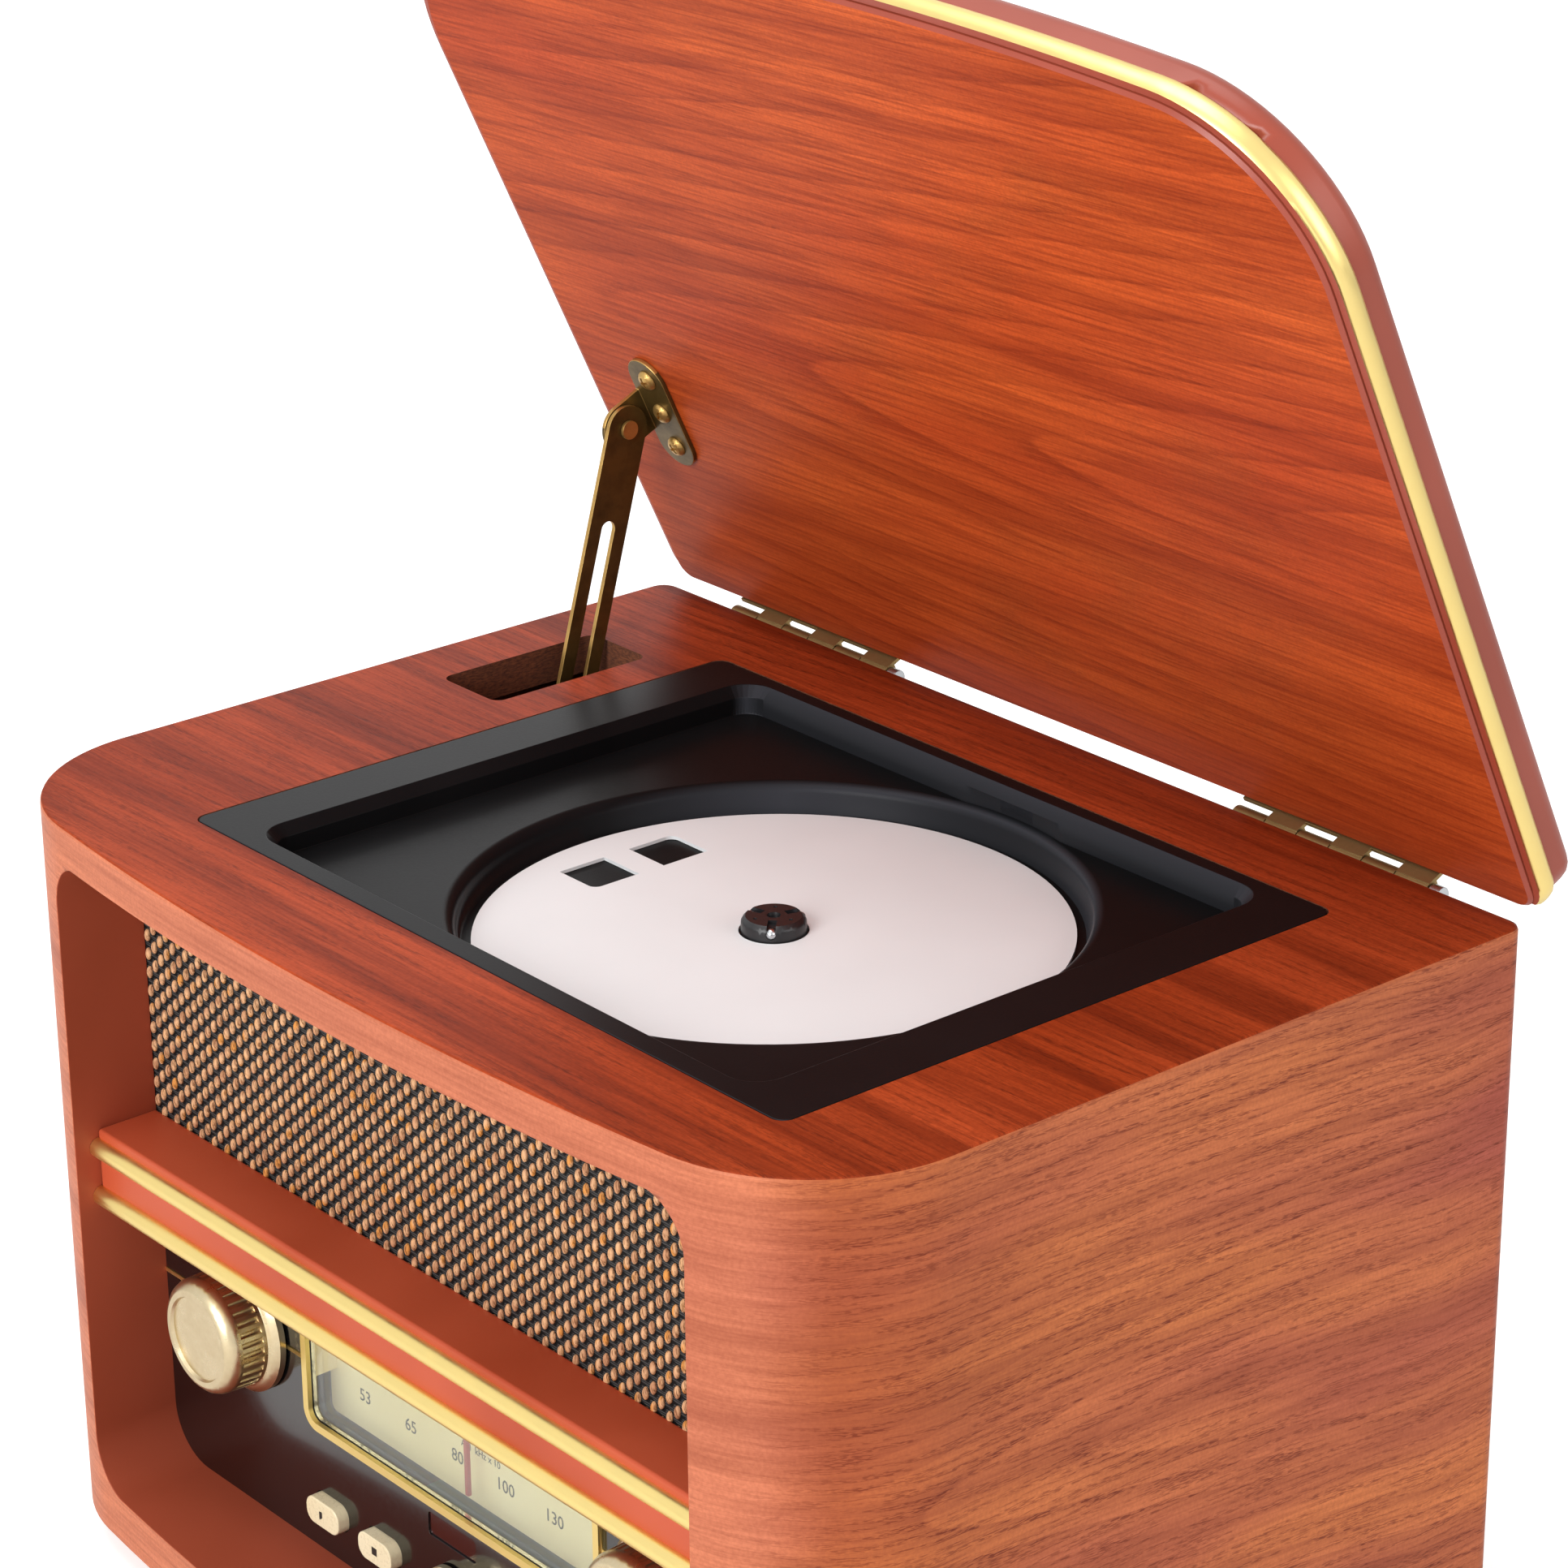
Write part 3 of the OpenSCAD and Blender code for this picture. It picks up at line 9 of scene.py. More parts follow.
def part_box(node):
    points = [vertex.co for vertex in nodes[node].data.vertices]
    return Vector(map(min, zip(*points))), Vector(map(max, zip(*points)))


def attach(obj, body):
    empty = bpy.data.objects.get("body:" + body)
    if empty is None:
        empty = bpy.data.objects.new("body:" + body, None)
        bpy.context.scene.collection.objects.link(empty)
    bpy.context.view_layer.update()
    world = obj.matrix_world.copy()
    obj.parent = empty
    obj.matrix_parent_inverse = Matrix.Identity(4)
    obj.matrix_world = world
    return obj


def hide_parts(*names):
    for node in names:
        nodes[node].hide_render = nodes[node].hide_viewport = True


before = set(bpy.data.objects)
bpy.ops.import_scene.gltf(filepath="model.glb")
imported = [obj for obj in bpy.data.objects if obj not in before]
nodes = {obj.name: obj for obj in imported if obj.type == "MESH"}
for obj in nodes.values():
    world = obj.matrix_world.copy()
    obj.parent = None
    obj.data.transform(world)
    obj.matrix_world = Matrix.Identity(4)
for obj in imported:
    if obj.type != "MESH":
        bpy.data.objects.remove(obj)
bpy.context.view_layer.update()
MM = 0.001

# Places that the model fixes: the hinge axis, the lid's angle, the disc hub, and the boxes of the pieces
# that others are measured from
LID_OPEN = math.radians(64.7)
HINGE = (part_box("hinge_pins")[0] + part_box("hinge_pins")[1]) / 2
HUB_LOW, HUB_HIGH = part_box("disc_hub")
HUB = (HUB_LOW + HUB_HIGH) / 2
TOP_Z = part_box("top_board")[1].z
FRONT_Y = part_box("top_board")[0].y
CLOTH_LOW, CLOTH_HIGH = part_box("grille_cloth")
RAIL_LOW, RAIL_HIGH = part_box("front_rail")
DECK_LOW, DECK_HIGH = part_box("deck_tray")
PANEL_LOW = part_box("control_panel")[0]
SHUT = Matrix.Translation(HINGE) @ Matrix.Rotation(LID_OPEN, 4, "X") @ Matrix.Translation(-HINGE)
OPEN = SHUT.inverted()

# Between two faces, in degrees: less than the first is one flat face, more than the second an edge to ease
FLAT_ANGLE = 0.2
EDGE_ANGLE = 30

# The weave of the grille, in mm: its thin threads, then how far apart the stitches are across and up
WEFT_STEP = 0.55
STITCH_COLUMN = 2.65
STITCH_REPEAT = 4.75
# Half the size of a stitch, in mm, and its lean in degrees
STITCH_SIZE = (0.86, 0.8, 1.6)
STITCH_LEAN = 4

# The walls' grain is wrapped round the front. In mm along the wrap: the span of the front's ramps, then
# where the grain begins to sink along the side, over what length, and by how much
WRAP_SPAN = 240
SINK_START, SINK_LENGTH, SINK_DEPTH = 187.5, 150, 9


def linear(code):
    """A colour written as #rrggbb, as the shader's linear values."""
    parts = [int(code[i:i + 2], 16) / 255 for i in (1, 3, 5)]
    return tuple(c / 12.92 if c <= 0.04045 else ((c + 0.055) / 1.055) ** 2.4 for c in parts) + (1,)


class Finish:
    """One material, whose pattern is built up node by node."""

    def __init__(self, name, color, rough=0.5, metal=0.0, **sockets):
        self.material = bpy.data.materials.new(name)
        self.material.use_nodes = True
        self.tree = self.material.node_tree
        self.shader = self.tree.nodes["Principled BSDF"]
        self.set("Base Color", linear(color))
        self.set("Roughness", rough)
        self.set("Metallic", metal)
        for key, value in sockets.items():
            self.set(key.replace("_", " "), value)
        self.material.diffuse_color = linear(color)

    def set(self, key, value):
        self.shader.inputs[key].default_value = value

    def join(self, value, socket):
        """Links another node's output to the socket, or types a plain value into it."""
        if isinstance(value, bpy.types.NodeSocket):
            self.tree.links.new(value, socket)
        else:
            socket.default_value = value

    def node(self, kind, **settings):
        made = self.tree.nodes.new("ShaderNode" + kind)
        for key, value in settings.items():
            setattr(made, key, value)
        return made

    def place(self, stretch=(1000, 1000, 1000), turned=False):
        """Object coordinates in millimetres, stretched, and laid flat again on a piece of the open lid."""
        where = self.node("TexCoord").outputs["Object"]
        if turned:
            laid = self.node("Mapping")
            self.join(where, laid.inputs["Vector"])
            laid.inputs["Rotation"].default_value = (LID_OPEN, 0, 0)
            laid.inputs["Location"].default_value = SHUT.to_translation()
            where = laid.outputs["Vector"]
        sized = self.node("Mapping")
        self.join(where, sized.inputs["Vector"])
        sized.inputs["Scale"].default_value = stretch
        return sized.outputs["Vector"]

    def split(self, vector):
        parts = self.node("SeparateXYZ")
        self.join(vector, parts.inputs[0])
        return parts.outputs[0], parts.outputs[1], parts.outputs[2]

    def vector(self, x, y, z):
        made = self.node("CombineXYZ")
        for value, socket in zip((x, y, z), made.inputs):
            self.join(value, socket)
        return made.outputs[0]

    def math(self, operation, a, b=0.0, c=0.0, clamp=False):
        made = self.node("Math", operation=operation, use_clamp=clamp)
        for value, socket in zip((a, b, c), made.inputs):
            self.join(value, socket)
        return made.outputs[0]

    def noise(self, vector, detail, rough=0.5):
        made = self.node("TexNoise")
        self.join(vector, made.inputs["Vector"])
        for key, value in (("Scale", 1.0), ("Detail", detail), ("Roughness", rough)):
            made.inputs[key].default_value = value
        return made.outputs[0]

    def ramp(self, factor, *stops):
        """Stops are pairs of a position and a colour or a grey level."""
        made = self.node("ValToRGB")
        self.join(factor, made.inputs[0])
        band = made.color_ramp.elements
        while len(band) < len(stops):
            band.new(0.5)
        for element, (position, color) in zip(band, stops):
            element.position = position
            element.color = linear(color) if isinstance(color, str) else (color, color, color, 1)
        return made.outputs[0]

    def mix(self, factor, a, b):
        made = self.node("Mix", data_type="RGBA")
        for value, socket in ((factor, made.inputs[0]), (a, made.inputs[6]), (b, made.inputs[7])):
            self.join(linear(value) if isinstance(value, str) else value, socket)
        return made.outputs[2]

    def color(self, value):
        self.join(value, self.shader.inputs["Base Color"])

    def rough(self, value):
        self.join(value, self.shader.inputs["Roughness"])

    def bump(self, height, distance, strength):
        made = self.node("Bump")
        made.inputs["Strength"].default_value = strength
        made.inputs["Distance"].default_value = distance
        self.join(height, made.inputs["Height"])
        self.join(made.outputs[0], self.shader.inputs["Normal"])


def veneer(name, way, tones, heart=0.0, tip=0.0, ring=45.0, reach=12.0, slope=9.0, wander=12.0, pores=0.5,
           fade=0.5, streak=0.5, fibre=0.3, painted_shade=None, turned=False, rough=0.42, gloss=0.1):
    """Lacquered cherry: growth rings that open along the grain, broad streaks, fibres and rows of pores.
    way is X on flat boards, round on the cabinet's walls. Far from the heart the rings lie straight.
    The two places given for painted shade lie across the grain; between them the wood is painted darker, as
    painted shade."""
    light, middle, dark, pore = tones
    wood = Finish(name, middle, rough, Specular_IOR_Level=gloss)
    x, y, z = wood.split(wood.place(turned=turned))
    along, across, deep, plain = x, y, z, 1.0
    if way == "round":
        # Follows the front, then turns the corner and follows the side, where the grain sinks a little
        side = wood.math("SIGN", x)
        behind = wood.math("SUBTRACT", y, FRONT_Y / MM)
        along = wood.math("MULTIPLY_ADD", behind, side, x)
        back = wood.math("MULTIPLY_ADD", wood.math("ABSOLUTE", along), 1 / SINK_LENGTH,
                         -SINK_START / SINK_LENGTH, clamp=True)
        across = wood.math("MULTIPLY_ADD", wood.math("MULTIPLY", back, back), SINK_DEPTH, z)
        deep = 0.0
        # The front shows hardly any figure
        turn = wood.math("DIVIDE", wood.math("ABSOLUTE", along), WRAP_SPAN)
        plain = wood.ramp(turn, (0.58, 0.2), (0.7, 1.0))

    def stretched(a, b, **settings):
        """Noise drawn out along the grain; a and b are its scales along and across, per mm."""
        return wood.noise(wood.vector(wood.math("MULTIPLY", along, a), wood.math("MULTIPLY", across, b),
                                      wood.math("MULTIPLY", deep, b)), **settings)

    sway = stretched(0.0045, 0.013, detail=1)
    drift = stretched(0.012, 0.06, detail=2)
    off = wood.math("SUBTRACT", across, heart)
    off = wood.math("MULTIPLY_ADD", wood.math("SUBTRACT", sway, 0.5), wander, off)
    off = wood.math("MULTIPLY_ADD", wood.math("SUBTRACT", drift, 0.5), 5, off)
    part = wood.math("DIVIDE", off, reach)
    curve = wood.math("SQRT", wood.math("MULTIPLY_ADD", part, part, 1))
    bend = wood.math("MULTIPLY", wood.math("SUBTRACT", curve, 1), slope * reach)
    rings = wood.math("DIVIDE", wood.math("SUBTRACT", wood.math("SUBTRACT", along, tip), bend), ring)
    late = wood.ramp(wood.math("FRACT", rings),
                     (0.0, 0.0), (0.35, 0.12), (0.75, 0.5), (0.94, 1.0), (0.985, 0.0))
    clear = wood.ramp(stretched(0.007, 0.03, detail=2), (0.36, 0.2), (0.6, 1.0))
    late = wood.math("MULTIPLY", late, wood.math("MULTIPLY", clear, plain))
    fine = stretched(0.03, 1.1, detail=3, rough=0.7)
    band = stretched(0.0035, 0.10, detail=3, rough=0.55)
    cloud = stretched(0.006, 0.022, detail=2)
    grit = wood.noise(wood.place((1300, 1300, 1300)), detail=1)
    rows = wood.ramp(stretched(0.04, 0.8, detail=1), (0.46, 0.0), (0.56, 1.0))
    holes = wood.ramp(stretched(0.35, 3.6, detail=1), (0.47, 0.0), (0.54, 1.0))
    holes = wood.math("MULTIPLY", rows, holes)
    tone = wood.ramp(cloud, (0.34, middle), (0.64, light))
    if way == "round":
        # The plain front is painted paler pink, a painted reflection, and the turn into the side darker,
        # painted shade
        tone = wood.mix(plain, SHEEN_FACE, tone)
        tone = wood.mix(wood.ramp(turn, (0.6, 0.0), (0.68, 0.5), (0.96, 0.0)), tone, SHADED_SHOULDER)
    # Painted shade: the wood is painted darker between two places across the grain
    if painted_shade:
        depth = wood.math("DIVIDE", wood.math("SUBTRACT", across, painted_shade[0]), painted_shade[1] - painted_shade[0])
        tone = wood.mix(wood.ramp(depth, (0.0, 0.0), (1.0, 0.4)), tone, dark)
    tone = wood.mix(wood.math("MULTIPLY", wood.ramp(band, (0.44, 0.0), (0.66, 1.0)), streak), tone, dark)
    tone = wood.mix(wood.math("MULTIPLY", late, fade), tone, dark)
    tone = wood.mix(wood.ramp(fine, (0.42, 0.0), (0.64, fibre)), tone, dark)
    tone = wood.mix(wood.ramp(grit, (0.35, 0.0), (0.66, 0.2)), tone, dark)
    near = wood.math("MULTIPLY", holes, wood.math("MULTIPLY_ADD", late, 0.5, 0.5))
    near = wood.math("MULTIPLY", near, wood.math("MULTIPLY", plain, pores))
    tone = wood.mix(near, tone, pore)
    wood.color(tone)
    wood.rough(wood.math("MULTIPLY_ADD", fine, 0.14, rough - 0.07))
    height = wood.math("SUBTRACT", wood.math("MULTIPLY", fine, 0.25), near)
    wood.bump(height, 0.08 * MM, 0.3)
    return wood.material


def lacquer(name, light, dark, rough=0.36, gloss=0.2):
    """Smooth opaque red-brown lacquer over board, a little cloudy."""
    skin = Finish(name, light, rough, Specular_IOR_Level=gloss)
    cloud = skin.noise(skin.place((18, 18, 18)), detail=2)
    grit = skin.noise(skin.place((900, 900, 900)), detail=2)
    skin.color(skin.ramp(cloud, (0.35, dark), (0.65, light)))
    skin.rough(skin.math("MULTIPLY_ADD", grit, 0.1, rough - 0.05))
    skin.bump(grit, 0.03 * MM, 0.25)
    return skin.material


def raw_board(name, light, dark):
    """Cut fibreboard: short fibres, dull."""
    board = Finish(name, light, 0.85)
    fibre = board.noise(board.place((700, 700, 2600)), detail=4, rough=0.65)
    cloud = board.noise(board.place((60, 60, 60)), detail=2)
    tone = board.ramp(fibre, (0.35, dark), (0.68, light))
    board.color(board.mix(board.ramp(cloud, (0.4, 0.0), (0.7, 0.35)), tone, dark))
    board.bump(fibre, 0.2 * MM, 0.5)
    return board.material


def metal(name, color, shade, rough=0.3, worn=0.4, brushed=(60, 60, 900), bite=0.2, bare=1.0):
    """Metal with fine brushing and a darker patina in patches; bare is how little film lies on it."""
    skin = Finish(name, color, rough, bare)
    line = skin.noise(skin.place(brushed), detail=3)
    patch = skin.noise(skin.place((160, 160, 160)), detail=4, rough=0.6)
    tone = skin.mix(skin.ramp(patch, (0.4, 0.0), (0.72, worn)), color, shade)
    skin.color(skin.mix(skin.math("MULTIPLY", line, 0.25), tone, shade))
    skin.rough(skin.math("MULTIPLY_ADD", patch, 0.25, skin.math("MULTIPLY_ADD", line, 0.12, rough - 0.18)))
    skin.bump(line, 0.02 * MM, bite)
    return skin.material


def plastic(name, color, rough=0.45, grain=1600, bite=0.3, tint=None, front=None, **sockets):
    """Moulded plastic or rubber with a fine spark texture; front is a lighter colour painted where it faces
    the front, a painted highlight.
    """
    skin = Finish(name, color, rough, **sockets)
    spark = skin.noise(skin.place((grain, grain, grain)), detail=2)
    cloud = skin.noise(skin.place((25, 25, 25)), detail=2)
    tone = skin.mix(skin.ramp(cloud, (0.35, 0.0), (0.7, 1.0)), color, tint or color)
    if front:
        # Painted highlight: faces that look to the front take the lighter colour
        facing = skin.split(skin.node("NewGeometry").outputs["Normal"])[1]
        lit_front = skin.ramp(skin.math("MULTIPLY", facing, -1), (0.1, 0.0), (0.65, 1.0), (0.97, 0.3))
        tone = skin.mix(lit_front, tone, front)
    skin.color(tone)
    skin.rough(skin.math("MULTIPLY_ADD", spark, 0.12, rough - 0.06))
    skin.bump(spark, 0.03 * MM, bite)
    return skin.material


# Tones of the wood: light, middle, dark and pores. Then the plain front's tone, painted paler pink as a
# painted reflection, and the turn into the side, painted darker as painted shade
CHERRY = ("#b54b26", "#9c3b19", "#5e1c0c", "#3a120a")
WALL = ("#d27b48", "#aa5646", "#803b28", "#702e1c")
UNDER = ("#d46029", "#c04c21", "#7a260f", "#5a1b0b")
SHEEN_FACE = "#cd7c5c"
SHADED_SHOULDER = "#94451a"

top_veneer = veneer("top veneer", "X", CHERRY, heart=-190, tip=-60, pores=0.5, fade=0.4, streak=0.6,
                    fibre=0.36, gloss=0.04)
wall_veneer = veneer("wall veneer", "round", WALL, heart=112, tip=190, pores=1.0, fade=0.4, streak=0.45)
# The lid's underside is painted darker across its grain, as painted shade
lid_veneer = veneer("lid veneer", "X", UNDER, heart=10, tip=-42, ring=75, reach=10, pores=0.3, fade=0.5,
                    streak=0.4, fibre=0.55, painted_shade=(-10, 90), turned=True)
lid_top_veneer = veneer("lid top veneer", "X", CHERRY, heart=-30, tip=20, pores=0.4, turned=True)
# The rail's lacquer is the jambs' lacquer painted lighter, painted light on the rail's lit top
lit_rail_lacquer = lacquer("lit rail lacquer", "#b85033", "#a74327")
jamb_lacquer = lacquer("jamb lacquer", "#a04a33", "#96442d")
edge_lacquer = lacquer("edge lacquer", "#a04a38", "#93402e", 0.34, 0.4)
cut_board = raw_board("cut board", "#7d4426", "#42200f")
dark_board = raw_board("dark board", "#2e2723", "#191513")
gold = metal("gold", "#f2da8e", "#e2bf74", 0.35, 0.1, (20, 20, 60), 0.02)
knob_gold = metal("knob gold", "#d9c9a6", "#a98f5e", 0.3, 0.2, (900, 60, 900))
old_brass = metal("old brass", "#6a552c", "#3c2e14", 0.36, 0.7, bare=0.6)
# Brighter brass: the screws' own, and a painted highlight on the stay's narrow edges
rubbed_and_highlit_brass = metal("rubbed and highlit brass", "#d0a964", "#8c6a34", 0.34, 0.5, bare=0.8)
hinge_brass = metal("hinge brass", "#a48b5e", "#7c6640", 0.5, 0.5)
steel = metal("steel", "#c9cbce", "#85888c", 0.28, 0.3)
grey_metal = metal("grey metal", "#9a9da1", "#6c6f73", 0.42, 0.3)
# The deck's faces that look to the front are painted lighter and bluer, a painted highlight
deck_plastic = plastic("deck plastic", "#111112", 0.31, tint="#151516", front="#333439",
                       Specular_IOR_Level=0.05)
black_plastic = plastic("black plastic", "#171517", 0.38)
panel_gloss = plastic("panel gloss", "#0d0c0d", 0.16, 900, 0.05, Coat_Weight=0.5, Coat_Roughness=0.08)
card_white = plastic("card white", "#e3e4e5", 0.5, 500, 0.1, tint="#dfe0e1")
ivory = plastic("ivory", "#e9dcba", 0.28, 900, 0.1, tint="#dfcfa6")
rubber = plastic("rubber", "#161516", 0.75, 1200, 0.5)
red_paint = plastic("red paint", "#b92a1c", 0.3, 900, 0.1)
display_red = plastic("display window", "#2a0a09", 0.12, 900, 0.05, Coat_Weight=0.6, Coat_Roughness=0.05)
print_black = plastic("print black", "#231d18", 0.5, 900, 0.1)
natural = plastic("natural plastic", "#d9d2be", 0.45, 900, 0.2)
circuit = plastic("circuit board", "#1d5a38", 0.4, 500, 0.2, tint="#2a7048")
cone_pulp = plastic("cone pulp", "#1c1b1c", 0.85, 700, 0.6)
lens_blue = plastic("lens", "#7f9cc9", 0.08, 900, 0.0, Coat_Weight=0.8)


def paper_scale():
    """Cream scale with a painted glow, as if lit from behind, though no lamp is there."""
    paper = Finish("dial paper", "#e9dcb2", 0.6, Emission_Color=linear("#ffdf9c"), Emission_Strength=0.22)
    fade = paper.noise(paper.place((14, 14, 14)), detail=2)
    fibre = paper.noise(paper.place((1500, 1500, 400)), detail=3)
    tone = paper.ramp(fade, (0.3, "#dccb98"), (0.7, "#efe4c2"))
    paper.color(paper.mix(paper.math("MULTIPLY", fibre, 0.15), tone, "#c9b37c"))
    paper.bump(fibre, 0.03 * MM, 0.2)
    return paper.material


def clear_glass():
    """Clear glass with a trace of haze."""
    glass = Finish("dial glass", "#eef4ef", 0.03, IOR=1.45, Transmission_Weight=0.95)
    haze = glass.noise(glass.place((400, 400, 400)), detail=2)
    glass.rough(glass.math("MULTIPLY", haze, 0.06))
    return glass.material


def dark_yarn():
    """The cloth's ground: grey threads close together, and black lanes of painted shade that wind between
    the stitches.
    """
    cloth = Finish("grille ground", "#4a4a4e", 0.8, Specular_IOR_Level=0.2)
    x, y, z = cloth.split(cloth.place())
    wobble = cloth.noise(cloth.vector(cloth.math("MULTIPLY", x, 0.8), 0.0, cloth.math("MULTIPLY", z, 0.8)),
                         detail=2)
    weft = cloth.math("SINE", cloth.math("MULTIPLY_ADD", z, 2 * math.pi / WEFT_STEP,
                                         cloth.math("MULTIPLY", wobble, 2.0)))
    # Painted shade: near-black lanes winding between the stitches, where they shade the ground
    wave = cloth.math("SINE", cloth.math("MULTIPLY_ADD", x, 2 * math.pi / (2 * STITCH_COLUMN),
                                         cloth.math("MULTIPLY", z, 2 * math.pi / STITCH_REPEAT)))
    shaded_lane = cloth.math("MULTIPLY_ADD", wave, 0.24, cloth.math("DIVIDE", z, STITCH_REPEAT / 2))
    shaded_lane = cloth.math("ABSOLUTE", cloth.math("SUBTRACT", cloth.math("FRACT", shaded_lane), 0.5))
    black = cloth.ramp(shaded_lane, (0.11, 1.0), (0.16, 0.0))
    thread = cloth.math("MULTIPLY_ADD", weft, 0.5, 0.5)
    tone = cloth.ramp(thread, (0.1, "#1b1a1a"), (0.8, "#484645"))
    cloth.color(cloth.mix(black, tone, "#0a090a"))
    cloth.bump(cloth.math("MULTIPLY_ADD", black, 0.7, thread), 0.2 * MM, 0.7)
    return cloth.material


def tan_yarn():
    """Twisted tan yarn, each stitch a slightly different brown."""
    yarn = Finish("grille yarn", "#d8a878", 0.75, Specular_IOR_Level=0.15)
    x, y, z = yarn.split(yarn.place())
    stitch = yarn.noise(yarn.vector(yarn.math("MULTIPLY", x, 0.37), 0.0, yarn.math("MULTIPLY", z, 0.21)),
                        detail=0)
    fibre = yarn.noise(yarn.vector(yarn.math("MULTIPLY_ADD", z, 1.0, yarn.math("MULTIPLY", x, 4.5)), y,
                                   yarn.math("MULTIPLY", z, 0.5)), detail=3, rough=0.6)
    tone = yarn.ramp(stitch, (0.35, "#cc9670"), (0.5, "#e4b388"), (0.62, "#e6b080"), (0.7, "#de964e"))
    yarn.color(yarn.mix(yarn.ramp(fibre, (0.36, 0.85), (0.54, 0.0)), tone, "#744628"))
    yarn.bump(fibre, 0.25 * MM, 0.8)
    return yarn.material


cloth_ground = dark_yarn()
cloth_yarn = tan_yarn()
dial_paper = paper_scale()
dial_glass = clear_glass()


def only(*pieces):
    """Deselects everything, then selects these pieces."""
    bpy.ops.object.select_all(action="DESELECT")
    for piece in pieces:
        piece.select_set(True)
    bpy.context.view_layer.objects.active = pieces[-1]


def paint(piece, *materials):
    """Gives a piece these materials in place of its own."""
    piece.data.materials.clear()
    for material in materials:
        piece.data.materials.append(material)


def paint_where(piece, index, test):
    """Gives the faces that pass the test, by their centre and normal, another of the piece's materials."""
    for face in piece.data.polygons:
        if test(face.center, face.normal):
            face.material_index = index


def settle(piece, body, name):
    """Puts a finished piece's place into its mesh, names it and lets it ride on its body."""
    only(piece)
    bpy.ops.object.transform_apply(location=True, rotation=True, scale=True)
    piece.name = name
    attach(piece, body)


def apply(piece, kind, **settings):
    """Adds a modifier and applies it at once."""
    only(piece)
    modifier = piece.modifiers.new(kind.lower(), kind)
    for key, value in settings.items():
        setattr(modifier, key, value)
    bpy.ops.object.modifier_apply(modifier=modifier.name)


def merged(node):
    """A copy of a CAD node with its loose triangles merged into clean faces."""
    source = nodes[node]
    piece = source.copy()
    piece.data = source.data.copy()
    piece.parent = None
    piece.matrix_world = Matrix.Identity(4)
    bpy.context.collection.objects.link(piece)
    piece.name = "made_" + node
    only(piece)
    bpy.ops.object.mode_set(mode="EDIT")
    bpy.ops.mesh.select_all(action="SELECT")
    bpy.ops.mesh.remove_doubles(threshold=0.002 * MM)
    bpy.ops.mesh.dissolve_limited(angle_limit=math.radians(FLAT_ANGLE))
    bpy.ops.object.mode_set(mode="OBJECT")
    return piece


def soften(piece, ease, segments=2, smooth=34):
    """Eases the sharp edges and smooths what is round, up to an angle in degrees."""
    if ease:
        apply(piece, "BEVEL", width=ease, segments=segments, limit_method="ANGLE",
              angle_limit=math.radians(EDGE_ANGLE), use_clamp_overlap=True, miter_outer="MITER_ARC")
    only(piece)
    bpy.ops.object.shade_smooth_by_angle(angle=math.radians(smooth))
    apply(piece, "WEIGHTED_NORMAL", keep_sharp=True, weight=80)


def dress(node, body, material, ease=0.0, segments=2, **options):
    """A softened copy of a CAD node takes its place."""
    piece = merged(node)
    paint(piece, material)
    soften(piece, ease, segments, **options)
    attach(piece, body)
    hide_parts(node)
    return piece


def finish_node(material, *names):
    """Gives CAD nodes that stay as they are their finish."""
    for name in names:
        paint(nodes[name], material)


def repeat(piece, count, step):
    """Repeats a piece at a fixed step."""
    apply(piece, "ARRAY", count=count, use_relative_offset=False, use_constant_offset=True,
          constant_offset_displace=step)


def cut_cross(piece, place, size, axis, turns):
    """Cuts a cross recess with a box of this size in mm, turned about the axis by each angle in degrees."""
    for turn in turns:
        bpy.ops.mesh.primitive_cube_add(size=1)
        cutter = bpy.context.object
        cutter.matrix_world = (place @ Matrix.Rotation(math.radians(turn), 4, axis)
                               @ Matrix.Diagonal((size[0] * MM, size[1] * MM, size[2] * MM, 1)))
        apply(piece, "BOOLEAN", object=cutter, operation="DIFFERENCE", solver="EXACT")
        bpy.data.objects.remove(cutter)


def lid_up(normal):
    """How far up a face of the lid looks when the lid is shut."""
    return (SHUT.to_3x3() @ normal).z


def mark_edges(piece, test):
    """Weights the edges whose two ends pass the test, for a bevel of those edges alone."""
    marks = piece.data.attributes.new("bevel_weight_edge", "FLOAT", "EDGE")
    for edge in piece.data.edges:
        ends = [piece.data.vertices[i].co for i in edge.vertices]
        if test(*ends):
            marks.data[edge.index].value = 1.0


# The cabinet's shell: the jambs of the recess are softly rounded where they meet the bowed front
JAMB_ROUND = 3.4 * MM
shell = merged("cabinet_body")
jamb_x = RAIL_HIGH.x + 0.35 * MM
recess_top = TOP_Z - 9.6 * MM
recess_low = PANEL_LOW.z - 4 * MM
mark_edges(shell, lambda a, b: all(abs(p.x) < jamb_x and p.y < RAIL_LOW.y + 6 * MM
                                   and recess_low < p.z < recess_top for p in (a, b)))
paint(shell, wall_veneer, jamb_lacquer, cut_board)
paint_where(shell, 1, lambda c, n: abs(c.x) < jamb_x and c.y < PANEL_LOW.y and n.y > -0.2
            and c.z > recess_low - MM)
paint_where(shell, 2, lambda c, n: c.y > PANEL_LOW.y - 0.1 * MM and abs(n.x) > 0.5 and c.x * n.x < 0)
apply(shell, "BEVEL", width=JAMB_ROUND, segments=5, limit_method="WEIGHT", use_clamp_overlap=True)
soften(shell, 0)
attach(shell, "cabinet")
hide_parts("cabinet_body")

top = merged("top_board")
paint(top, top_veneer, wall_veneer, cut_board)
paint_where(top, 1, lambda c, n: abs(n.z) < 0.5)
